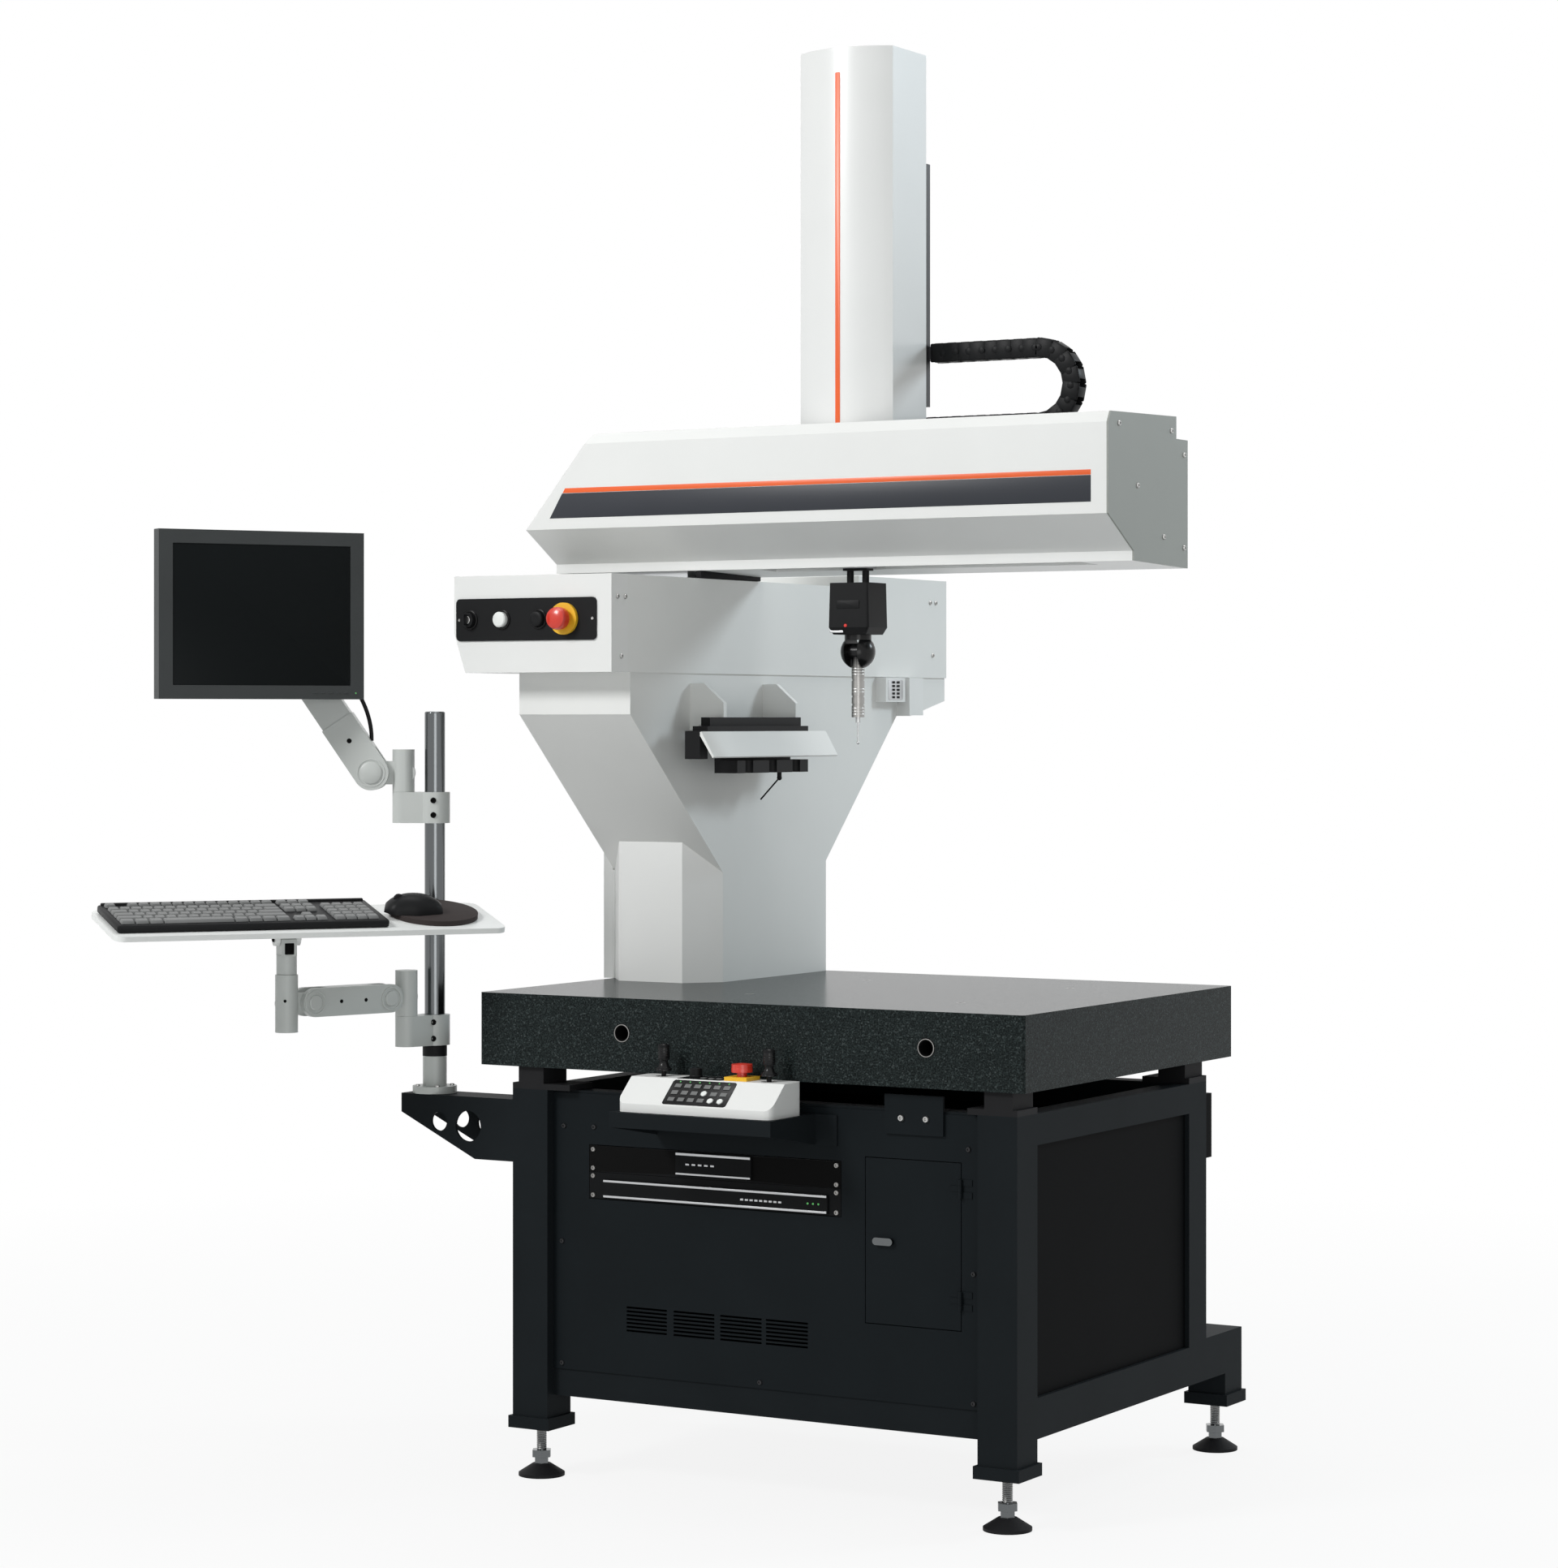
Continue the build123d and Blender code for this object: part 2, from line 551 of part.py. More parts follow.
with BuildPart() as left_stick:
    rod((STICK_X[0], STICK_Y - 13, PIVOT_Z), (0, 1, 0), 2, 26)
    rod((STICK_X[0], STICK_Y, PIVOT_Z - 4), (0, 0, 1), 4, 40)
    rod((STICK_X[0], STICK_Y, BOX_TOP + 9), (0, 0, 1), 13, 4)
    rod((STICK_X[0], STICK_Y, BOX_TOP + 11), (0, 0, 1), 7, 18)
    rod((STICK_X[0], STICK_Y, BOX_TOP + 27), (0, 0, 1), 9.5, 24)

with BuildPart() as right_stick:
    rod((STICK_X[1] - 24, STICK_Y, PIVOT_Z), (1, 0, 0), 2.5, 48)
    rod((STICK_X[1], STICK_Y, PIVOT_Z - 4), (0, 0, 1), 4, 40)
    rod((STICK_X[1], STICK_Y, BOX_TOP + 9), (0, 0, 1), 13, 4)
    rod((STICK_X[1], STICK_Y, BOX_TOP + 11), (0, 0, 1), 7, 18)
    rod((STICK_X[1], STICK_Y, BOX_TOP + 27), (0, 0, 1), 9.5, 24)

with BuildPart() as box_estop:
    rod((BOX_STOP_X, STICK_Y, BOX_TOP - 12), (0, 0, 1), 8, 12 + COLLAR_THICK + 8)
    rod((BOX_STOP_X, STICK_Y, BOX_TOP + COLLAR_THICK + 7), (0, 0, 1), 17, 13)

with BuildPart() as feed_knob:
    rod((KNOB_X, STICK_Y, BOX_TOP - 12), (0, 0, 1), 3, 16)
    rod((KNOB_X, STICK_Y, BOX_TOP + 1), (0, 0, 1), 10, 14)

with BuildPart() as granite_table:
    slab((-TABLE_WIDTH / 2, TABLE_WIDTH / 2), (-TABLE_DEPTH / 2, TABLE_DEPTH / 2), (TABLE_BOTTOM, TABLE_TOP))
    chamfer(granite_table.edges().filter_by(Axis.Z), length=4)
    for lift_x in LIFT_X:
        rod((lift_x, -TABLE_DEPTH / 2, LIFT_Z), (0, 1, 0), LIFT_BUSH_R, LIFT_DEPTH, mode=Mode.SUBTRACT)
    for insert_x in (INSERT_MID_X - INSERT_SPACING / 2, INSERT_MID_X + INSERT_SPACING / 2):
        for insert_y in (-INSERT_SPACING / 2, INSERT_SPACING / 2):
            rod((insert_x, insert_y, TABLE_TOP - INSERT_DEPTH), (0, 0, 1), INSERT_R, INSERT_DEPTH,
                mode=Mode.SUBTRACT)

with BuildPart() as table_inserts:
    for lift_x in LIFT_X:
        rod((lift_x, -TABLE_DEPTH / 2, LIFT_Z), (0, 1, 0), LIFT_BUSH_R, LIFT_DEPTH)
        rod((lift_x, -TABLE_DEPTH / 2, LIFT_Z), (0, 1, 0), LIFT_BORE_R, LIFT_DEPTH - 10,
            mode=Mode.SUBTRACT)
    for insert_x in (INSERT_MID_X - INSERT_SPACING / 2, INSERT_MID_X + INSERT_SPACING / 2):
        for insert_y in (-INSERT_SPACING / 2, INSERT_SPACING / 2):
            rod((insert_x, insert_y, TABLE_TOP - INSERT_DEPTH), (0, 0, 1), INSERT_R, INSERT_DEPTH)
            rod((insert_x, insert_y, TABLE_TOP - INSERT_DEPTH + 5), (0, 0, 1), INSERT_BORE_R,
                INSERT_DEPTH, mode=Mode.SUBTRACT)

COLUMN_SIDE = ((COLUMN_FRONT, TABLE_TOP), (COLUMN_FRONT, FLARE_Z[0]), (FLARE_FRONT, FLARE_Z[1]),
               (FLARE_FRONT, HOUSING_Z), (HOUSING_BACK, HOUSING_Z), (HOUSING_BACK, HOUSING_Z - 44),
               (709, HOUSING_Z - 73), (654, HOUSING_Z - 73), (COLUMN_BACK, FLARE_Z[0] + 10),
               (COLUMN_BACK, TABLE_TOP))

with BuildPart() as column:
    with BuildSketch(facing_right(COLUMN_X[0])):
        with BuildLine():
            Polyline(*COLUMN_SIDE, close=True)
        make_face()
    extrude(amount=COLUMN_X[1] - COLUMN_X[0])
    with BuildSketch(facing_right(COLUMN_X[0] + COLUMN_WALL)):
        with BuildLine():
            Polyline(*COLUMN_SIDE, close=True)
        make_face()
        offset(amount=-COLUMN_WALL, mode=Mode.REPLACE)
    extrude(amount=COLUMN_X[1] - COLUMN_X[0] - 2 * COLUMN_WALL, mode=Mode.SUBTRACT)

FLARE_SLOPE = (FLARE_Z[1] - FLARE_Z[0]) / (COLUMN_FRONT - FLARE_FRONT)
COVER_TOP = FLARE_Z[0] + (COLUMN_FRONT - COVER_FRONT) * FLARE_SLOPE

with BuildPart() as column_covers:
    prism(facing_right(COLUMN_X[0]),
          ((COLUMN_FRONT, TABLE_TOP), (COLUMN_FRONT, FLARE_Z[0]), (COVER_FRONT, COVER_TOP),
           (COVER_FRONT, TABLE_TOP)), COLUMN_X[1] - COLUMN_X[0])
    prism(level(TABLE_TOP),
          ((COLUMN_X[0], COLUMN_FRONT), (COVER_FLAT[0], COVER_FRONT), (COVER_FLAT[1], COVER_FRONT),
           (COLUMN_X[1], COLUMN_FRONT)), COVER_TOP - TABLE_TOP, mode=Mode.INTERSECT)
    slab((COLUMN_X[0] - SIDE_COVER, COLUMN_X[0]), (COLUMN_FRONT - 6, COLUMN_BACK - 3), (TABLE_TOP, FLARE_Z[1] + 48))

with BuildPart() as y_housing:
    slab((HOUSING_LEFT, HOUSING_RIGHT), (HOUSING_FRONT, HOUSING_BACK), (HOUSING_Z, HOUSING_TOP))
    slab((HOUSING_LEFT, HOUSING_RIGHT), (TROUGH_Y[1] + 12, HOUSING_BACK), (HOUSING_TOP, HOUSING_REAR_TOP))
    inside_x = (HOUSING_LEFT + HOUSING_WALL, COLUMN_X[1] - HOUSING_WALL)
    slab(inside_x, TROUGH_Y, (TROUGH_Z, HOUSING_TOP), mode=Mode.SUBTRACT)
    slab(inside_x, (HOUSING_FRONT + HOUSING_WALL, HOUSING_BACK - HOUSING_WALL),
         (HOUSING_Z + HOUSING_WALL, TROUGH_Z - HOUSING_WALL), mode=Mode.SUBTRACT)

with BuildPart() as y_rails:
    for rail_x in Y_RAIL_X:
        slab((rail_x - Y_RAIL_WIDTH / 2, rail_x + Y_RAIL_WIDTH / 2), Y_RAIL_Y,
             (TROUGH_Z, TROUGH_Z + Y_RAIL_HEIGHT))

PLATE_FRONT = CONTROL_FRONT - PLATE_THICK
PANEL_HOLES = ((KEY_X, BUTTON_R), (START_X, BUTTON_R), (BLACK_X, BUTTON_R), (PANEL_STOP_X, ESTOP_NECK_R))

with BuildPart() as control_box:
    prism(facing_front(HOUSING_FRONT),
          ((CONTROL_LEFT, HOUSING_TOP), (CONTROL_LEFT, HOUSING_TOP - 97), (CONTROL_LEFT + 23, HOUSING_Z),
           (HOUSING_RIGHT, HOUSING_Z), (HOUSING_RIGHT, HOUSING_TOP)), HOUSING_FRONT - CONTROL_FRONT)
    offset(amount=-CONTROL_WALL, openings=control_box.faces().sort_by(Axis.Y)[-1])
    for hole_x, hole_r in PANEL_HOLES:
        rod((hole_x, CONTROL_FRONT, BUTTON_Z), (0, 1, 0), hole_r + BUTTON_GAP, CONTROL_WALL,
            mode=Mode.SUBTRACT)

with BuildPart() as control_plate:
    slab(PLATE_X, (PLATE_FRONT, CONTROL_FRONT), PLATE_Z)
    fillet(control_plate.edges().filter_by(Axis.Y), radius=8)
    for hole_x, hole_r in PANEL_HOLES:
        rod((hole_x, PLATE_FRONT, BUTTON_Z), (0, 1, 0), hole_r + BUTTON_GAP, PLATE_THICK,
            mode=Mode.SUBTRACT)

with BuildPart() as key_switch:
    rod((KEY_X, PLATE_FRONT - 10, BUTTON_Z), (0, 1, 0), BUTTON_R, 30)
    slab((KEY_X - 2, KEY_X + 2), (PLATE_FRONT - 20, PLATE_FRONT - 10), (BUTTON_Z - 9, BUTTON_Z + 9))

with BuildPart() as start_button:
    rod((START_X, PLATE_FRONT - 9, BUTTON_Z), (0, 1, 0), BUTTON_R, 28)

with BuildPart() as black_button:
    rod((BLACK_X, PLATE_FRONT - 9, BUTTON_Z), (0, 1, 0), BUTTON_R, 28)

with BuildPart() as panel_estop:
    rod((PANEL_STOP_X, PLATE_FRONT - COLLAR_THICK - ESTOP_LIFT, BUTTON_Z), (0, 1, 0), ESTOP_NECK_R, 40)
    rod((PANEL_STOP_X, PLATE_FRONT - COLLAR_THICK - ESTOP_LIFT - 10, BUTTON_Z), (0, 1, 0), ESTOP_R, 15)
    fillet(panel_estop.edges().sort_by(Axis.Y)[0], radius=5)

with BuildPart() as estop_collars:
    rod((PANEL_STOP_X, PLATE_FRONT - COLLAR_THICK, BUTTON_Z), (0, 1, 0), COLLAR_R, COLLAR_THICK)
    rod((PANEL_STOP_X, PLATE_FRONT - COLLAR_THICK, BUTTON_Z), (0, 1, 0), ESTOP_NECK_R + BUTTON_GAP,
        COLLAR_THICK, mode=Mode.SUBTRACT)
    slab((BOX_STOP_X - 21, BOX_STOP_X + 21), (STICK_Y - 21, STICK_Y + 21), (BOX_TOP, BOX_TOP + COLLAR_THICK))
    rod((BOX_STOP_X, STICK_Y, BOX_TOP), (0, 0, 1), 8 + BUTTON_GAP, COLLAR_THICK, mode=Mode.SUBTRACT)

with BuildPart() as remote_unit:
    slab((COLUMN_X[1], COLUMN_X[1] + 22), UNIT_Y, UNIT_Z)
    slab((COLUMN_X[1], COLUMN_X[1] + 28), HOLDER_Y, (HOLDER_Z, UNIT_Z[1]))

COVER_X = COLUMN_X[1] + 85

with BuildPart() as stylus_rack_mount:
    for arm_y in RACK_ARM_Y:
        prism(facing_front(arm_y + RACK_ARM_THICK),
              ((COLUMN_X[1], RACK_RAIL_Z - 23), (COLUMN_X[1], RACK_RAIL_Z + 59),
               (COLUMN_X[1] + 28, RACK_RAIL_Z + 59), (COLUMN_X[1] + 68, RACK_RAIL_Z + 25),
               (COLUMN_X[1] + 68, RACK_RAIL_Z), (COLUMN_X[1] + 48, RACK_RAIL_Z)),
              RACK_ARM_THICK)
    prism(facing_front(232),
          ((COVER_X, RACK_RAIL_Z - 25), (COVER_X + 3, RACK_RAIL_Z - 24), (COVER_X + 28, RACK_RAIL_Z - 67),
           (COVER_X + 25, RACK_RAIL_Z - 69), (COVER_X, RACK_RAIL_Z - 31)), 422)

with BuildPart() as stylus_rack:
    slab((COVER_X - 33, COVER_X - 15), (-133, 175), (RACK_RAIL_Z - 15, RACK_RAIL_Z))
    slab((COVER_X - 30, COVER_X), (-165, 175), (RACK_RAIL_Z - 39, RACK_RAIL_Z - 15))
    slab((COVER_X - 30, COVER_X), (-190, -165), (RACK_RAIL_Z - 71, RACK_RAIL_Z - 23))
    slab((COVER_X - 30, COVER_X - 20), (-94, 147), (RACK_RAIL_Z - 96, RACK_RAIL_Z - 39))
    slab((COVER_X - 20, COVER_X + 16), (-94, 147), (RACK_RAIL_Z - 96, RACK_RAIL_Z - 74))
    for port_y in (-54, 26, 106):
        rod((COVER_X + 16, port_y, RACK_RAIL_Z - 96), (0, 0, 1), 13, 22, mode=Mode.SUBTRACT)
    # Spare stylus on a bent joint, screwed in between two ports
    spare = (COVER_X - 2, 78, RACK_RAIL_Z - 106)
    rod(spare, (0, 0, 1), 4, 10)
    rod(spare, (-1, 0, -1), 1.4, SPARE_LONG)
    with Locations(MACHINE.location * Location(spare)):
        Sphere(4.5)

BEAM_SIDE = ((BEAM_FRONT, CREASE_Z), (BEAM_FRONT, BEAM_TOP - 25), (BEAM_FRONT + 10, BEAM_TOP - 7),
             (BEAM_BACK - 45, BEAM_TOP), (BEAM_BACK - 45, BEAM_TOP - 37), (BEAM_BACK, BEAM_TOP - 37),
             (BEAM_BACK, BEAM_BOTTOM - 4),
             (-54, BEAM_BOTTOM + 2), (-54, BEAM_BOTTOM + 18))
TOWER_RUN = (PROBE_X - TOWER_HALF + X_TRAVEL[0] - 6, PROBE_X + TOWER_HALF + X_TRAVEL[1] + 6)
RAM_RUN = (PROBE_X - RAM / 2 + X_TRAVEL[0] - 7, PROBE_X + RAM / 2 + X_TRAVEL[1] + 7)


def beam_hull(inset):
    """Outer shape of the beam's covers, or the space inside them."""
    left = BEAM_X[0] + 1.3 * inset
    with BuildSketch(facing_right(BEAM_X[0])) as side:
        with BuildLine():
            Polyline(*BEAM_SIDE, close=True)
        make_face()
        if inset:
            offset(amount=-inset, kind=Kind.INTERSECTION, mode=Mode.REPLACE)
    extrude(side.sketch, amount=BEAM_X[1] - BEAM_X[0])
    below = BEAM_BOTTOM - 30
    with BuildSketch(facing_front(BEAM_BACK)) as front:
        with BuildLine():
            Polyline((left + 134, BEAM_TOP - 11), (left, CREASE_Z), (left, below), (BEAM_X[1], below),
                     (BEAM_X[1], BEAM_TOP), (left + 157, BEAM_TOP))
            ThreePointArc((left + 157, BEAM_TOP), (left + 144, BEAM_TOP - 3), (left + 134, BEAM_TOP - 11))
        make_face()
    extrude(front.sketch, amount=BEAM_BACK - BEAM_FRONT, mode=Mode.INTERSECT)


with BuildPart() as beam_inside:
    beam_hull(BEAM_WALL)

with BuildPart() as beam_cover:
    beam_hull(0)
    add(beam_inside.part, mode=Mode.SUBTRACT)
    slab(TOWER_RUN, (TOWER_CROWN - 6, CHAIN_Y[1] + 2), (BEAM_TOP - 20, BEAM_TOP + 5), mode=Mode.SUBTRACT)
    slab(RAM_RUN, (PROBE_Y - 30, PROBE_Y + 30), (BEAM_BOTTOM - 8, BEAM_BOTTOM + 10), mode=Mode.SUBTRACT)
    slab((FOOT_X[0] - 6, FOOT_X[1] + 6), (FOOT_Y[0] - 4, FOOT_Y[1] + 6), (BEAM_BOTTOM - 8, BEAM_BOTTOM + 10),
         mode=Mode.SUBTRACT)

with BuildPart() as beam_end_plate:
    prism(facing_right(BEAM_X[1]), BEAM_SIDE, END_PLATE)

BLOCK_Z = (TROUGH_Z + 5, TROUGH_Z + 32)

with BuildPart() as beam:
    slab(CASTING_X, CASTING_Y, CASTING_Z)
    slab((CASTING_X[0] + CASTING_WALL, CASTING_X[1] - CASTING_WALL),
         (CASTING_Y[0] + CASTING_WALL, CASTING_Y[1] - CASTING_WALL),
         (CASTING_Z[0] + CASTING_WALL, CASTING_Z[1] - CASTING_WALL), mode=Mode.SUBTRACT)
    slab(FOOT_X, FOOT_Y, (BLOCK_Z[1], CASTING_Z[0]))
    for rib_x in (-300, 100, 480):
        slab((rib_x - 15, rib_x + 15), (CASTING_Y[1], BEAM_BACK - BEAM_WALL),
             (CASTING_Z[0] + 50, CASTING_Z[1] - 22))
    slab((CHAIN_END_X - 30, CHAIN_END_X), CHAIN_Y, (CASTING_Z[1], CHAIN_Z[0] + CHAIN_THICK / 2 - 2))
    for rail_x in Y_RAIL_X:
        for block_y in (FOOT_Y[0] + 32, FOOT_Y[1] - 32):
            slab((rail_x - 22, rail_x + 22), (block_y - 30, block_y + 30), BLOCK_Z)
        groove = Y_RAIL_WIDTH / 2 + SLIDE_GAP
        slab((rail_x - groove, rail_x + groove), (FOOT_Y[0], FOOT_Y[1]),
             (TROUGH_Z, TROUGH_Z + Y_RAIL_HEIGHT + SLIDE_GAP), mode=Mode.SUBTRACT)

with BuildPart() as x_rails:
    for rail_z in X_RAIL_Z:
        slab(X_RAIL_X, (CASTING_Y[0] - X_RAIL_HEIGHT, CASTING_Y[0]),
             (rail_z - X_RAIL_WIDTH / 2, rail_z + X_RAIL_WIDTH / 2))

with BuildPart() as cable_chain:
    bend_r = (CHAIN_Z[1] - CHAIN_Z[0]) / 2
    bend_z = (CHAIN_Z[1] + CHAIN_Z[0]) / 2
    half = CHAIN_THICK / 2
    with BuildSketch(facing_front(CHAIN_Y[1])):
        with Locations((CHAIN_BEND_X, bend_z)):
            Circle(bend_r + half)
            Circle(bend_r - half, mode=Mode.SUBTRACT)
            Rectangle(2 * bend_r, 4 * bend_r, align=(Align.MAX, Align.CENTER), mode=Mode.SUBTRACT)
        for run_x, run_z in ((PROBE_X + TOWER_HALF + 6 + SLIDE_GAP, CHAIN_Z[1]), (CHAIN_END_X, CHAIN_Z[0])):
            with Locations((CHAIN_BEND_X, run_z)):
                Rectangle(CHAIN_BEND_X - run_x, CHAIN_THICK, align=(Align.MAX, Align.CENTER))
    extrude(amount=CHAIN_Y[1] - CHAIN_Y[0])

PLATE_Y = (16, 28)

with BuildPart() as x_carriage:
    slab((PROBE_X - 80, PROBE_X + 80), PLATE_Y, (CASTING_Z[0] + 6, DECK_Z[1]))
    slab((PROBE_X - 80, PROBE_X + 80), (PLATE_Y[0], TOWER_BACK + 5), DECK_Z)
    slab((PROBE_X - 30, PROBE_X + 30), PLATE_Y, (DECK_Z[1], TOWER_TOP - 25))
    slab((PROBE_X + 20, PROBE_X + 86), (TOWER_BACK + 0.3, TOWER_BACK + 5), (DECK_Z[0], DUCT_TOP))
    slab((PROBE_X + 30, PROBE_X + TOWER_HALF), (TOWER_BACK + 0.3, TOWER_BACK + DUCT_DEEP),
         (CHAIN_Z[0] + CHAIN_THICK, DUCT_TOP))
    slab((PROBE_X + 62, PROBE_X + TOWER_HALF + 6), (TOWER_BACK + 5, CHAIN_Y[1]),
         (CHAIN_Z[1] - 11, CHAIN_Z[1] + 11))
    for rail_z in X_RAIL_Z:
        for block_x in (PROBE_X - 50, PROBE_X + 50):
            slab((block_x - 28, block_x + 28), (PLATE_Y[1], CASTING_Y[0] - 2), (rail_z - 20, rail_z + 20))
        groove = X_RAIL_WIDTH / 2 + SLIDE_GAP
        slab((PROBE_X - 80, PROBE_X + 80), (CASTING_Y[0] - X_RAIL_HEIGHT - SLIDE_GAP, CASTING_Y[0]),
             (rail_z - groove, rail_z + groove), mode=Mode.SUBTRACT)
    for guide_z in ((CASTING_Z[0] + 10, CASTING_Z[0] + 50), (DECK_Z[1] - 48, DECK_Z[1] - 8)):
        slab((PROBE_X - 40, PROBE_X + 40), (PROBE_Y - 38, PLATE_Y[0]), guide_z)
    reach = RAM / 2 + SLIDE_GAP
    slab((PROBE_X - reach, PROBE_X + reach), (PROBE_Y - reach, PROBE_Y + reach),
         (CASTING_Z[0], DECK_Z[1] + 2), mode=Mode.SUBTRACT)

with BuildPart() as tower_cover:
    with BuildSketch(level(DECK_Z[1])):
        with BuildLine():
            Polyline((PROBE_X + TOWER_HALF, TOWER_EDGE), (PROBE_X + TOWER_HALF, TOWER_BACK),
                     (PROBE_X - TOWER_HALF, TOWER_BACK), (PROBE_X - TOWER_HALF, TOWER_EDGE))
            ThreePointArc((PROBE_X - TOWER_HALF, TOWER_EDGE), (PROBE_X, TOWER_CROWN),
                          (PROBE_X + TOWER_HALF, TOWER_EDGE))
        make_face()
    extrude(amount=TOWER_TOP - DECK_Z[1])
    offset(amount=-TOWER_WALL, openings=tower_cover.faces().sort_by(Axis.Z)[0])

with BuildPart() as z_ram:
    half = RAM / 2
    slab((PROBE_X - half, PROBE_X + half), (PROBE_Y - half, PROBE_Y + half), RAM_Z)
    half = RAM / 2 - RAM_WALL
    slab((PROBE_X - half, PROBE_X + half), (PROBE_Y - half, PROBE_Y + half),
         (RAM_Z[0] + 12, RAM_Z[1]), mode=Mode.SUBTRACT)

with BuildPart() as probe_head:
    with BuildSketch(level(HEAD_Z[0] + 12)):
        with Locations((PROBE_X, PROBE_Y)):
            RectangleRounded(HEAD_WIDE, HEAD_DEEP, 5)
    extrude(amount=HEAD_Z[1] - HEAD_Z[0] - 12, taper=1.5)
    with BuildSketch(level(HEAD_Z[0] + 12)):
        with Locations((PROBE_X, PROBE_Y)):
            RectangleRounded(HEAD_WIDE, HEAD_DEEP, 5)
    extrude(amount=-12, taper=30)
    for post_x in (PROBE_X - 15, PROBE_X + 15):
        rod((post_x, PROBE_Y, HEAD_Z[1]), (0, 0, 1), 6, RAM_Z[0] - HEAD_Z[1])
    slab((PROBE_X - 23, PROBE_X + 23), (PROBE_Y - 12, PROBE_Y + 12), (RAM_Z[0] - 4, RAM_Z[0]))

KNUCKLE_TOP = HEAD_Z[0] - 0.3
FORK_Z = BALL_Z + 20

with BuildPart() as head_knuckle:
    with Locations((TABLE_X + PROBE_X, TABLE_Y + PROBE_Y, BALL_Z)):
        Sphere(BALL_R)
    slab((-BALL_SLOT / 2 + PROBE_X, BALL_SLOT / 2 + PROBE_X), (PROBE_Y - 40, PROBE_Y + 40),
         (BALL_Z - 40, FORK_Z), mode=Mode.SUBTRACT)
    slab((PROBE_X - 40, PROBE_X + 40), (PROBE_Y - 40, PROBE_Y + 40), (KNUCKLE_TOP, BALL_Z + 40),
         mode=Mode.SUBTRACT)
    rod((PROBE_X, PROBE_Y, FORK_Z), (0, 0, 1), 23, KNUCKLE_TOP - FORK_Z)
    rod((PROBE_X - 20, PROBE_Y, BALL_Z), (1, 0, 0), TILT_PIN_R, 40)

with BuildPart() as probe_body:
    disc = BALL_SLOT - 2 * SLIDE_GAP
    rod((PROBE_X - disc / 2, PROBE_Y, BALL_Z), (1, 0, 0), 14, disc)
    rod((PROBE_X, PROBE_Y, PROBE_END), (0, 0, 1), PROBE_R, BALL_Z - PROBE_END)
    for ring_z in (PROBE_END + 20, PROBE_END + 34, PROBE_END + 62):
        rod((PROBE_X, PROBE_Y, ring_z), (0, 0, 1), PROBE_R + 1, 3, mode=Mode.SUBTRACT)
        rod((PROBE_X, PROBE_Y, ring_z), (0, 0, 1), PROBE_R - 1.2, 3)
    rod((PROBE_X - 20, PROBE_Y, BALL_Z), (1, 0, 0), TILT_PIN_R + PIVOT_GAP, 40, mode=Mode.SUBTRACT)

with BuildPart() as stylus:
    rod((PROBE_X, PROBE_Y, PROBE_END - 9), (0, 0, 1), 4, 9)
    rod((PROBE_X, PROBE_Y, STYLUS_TIP + STYLUS_BALL_R), (0, 0, 1), 1.2,
        PROBE_END - 9 - STYLUS_TIP - STYLUS_BALL_R)
    with Locations((TABLE_X + PROBE_X, TABLE_Y + PROBE_Y, STYLUS_TIP + STYLUS_BALL_R)):
        Sphere(STYLUS_BALL_R)

with BuildPart() as pole_bracket:
    bracket_side = ((BRACKET_LEFT, BRACKET_Z[1]), (STAND_LEFT, BRACKET_Z[1]), (STAND_LEFT, BRACKET_Z[0]),
                    (STAND_LEFT - 78, BRACKET_Z[0]), (BRACKET_LEFT, BRACKET_Z[1] - 32))
    for plate_y in (LEG_FRONT_Y[0] + BRACKET_SHEET, LEG_FRONT_Y[1]):
        prism(facing_front(plate_y), bracket_side, BRACKET_SHEET)
    slab((BRACKET_LEFT, STAND_LEFT), LEG_FRONT_Y, (BRACKET_Z[1] - BRACKET_SHEET, BRACKET_Z[1]))
    slab((STAND_LEFT - BRACKET_SHEET, STAND_LEFT), LEG_FRONT_Y, BRACKET_Z)
    rod((BRACKET_LEFT + 79, STAND_FRONT - 1, BRACKET_Z[1] - 45), (0, 1, 0), 16, LEG + 2, mode=Mode.SUBTRACT)
    rod((BRACKET_LEFT + 139, STAND_FRONT - 1, BRACKET_Z[1] - 50), (0, 1, 0), 26, LEG + 2, mode=Mode.SUBTRACT)

with BuildPart() as pole:
    rod((POLE_X, POLE_Y, BRACKET_Z[1]), (0, 0, 1), FLANGE_R, FLANGE_THICK)
    rod((POLE_X, POLE_Y, BRACKET_Z[1]), (0, 0, 1), SLEEVE_R, SLEEVE_TOP - BRACKET_Z[1])
    rod((POLE_X, POLE_Y, SLEEVE_TOP), (0, 0, 1), POLE_R, POLE_TOP - SLEEVE_TOP)
    fillet(pole.edges().group_by(Axis.Z)[-1], radius=3)

SCREEN_HUB_XY = ahead(POLE_X, POLE_Y, SCREEN_HUB_TURN, SCREEN_HUB)
TRAY_HUB_XY = ahead(POLE_X, POLE_Y, TRAY_ARM_TURN, TRAY_HUB)

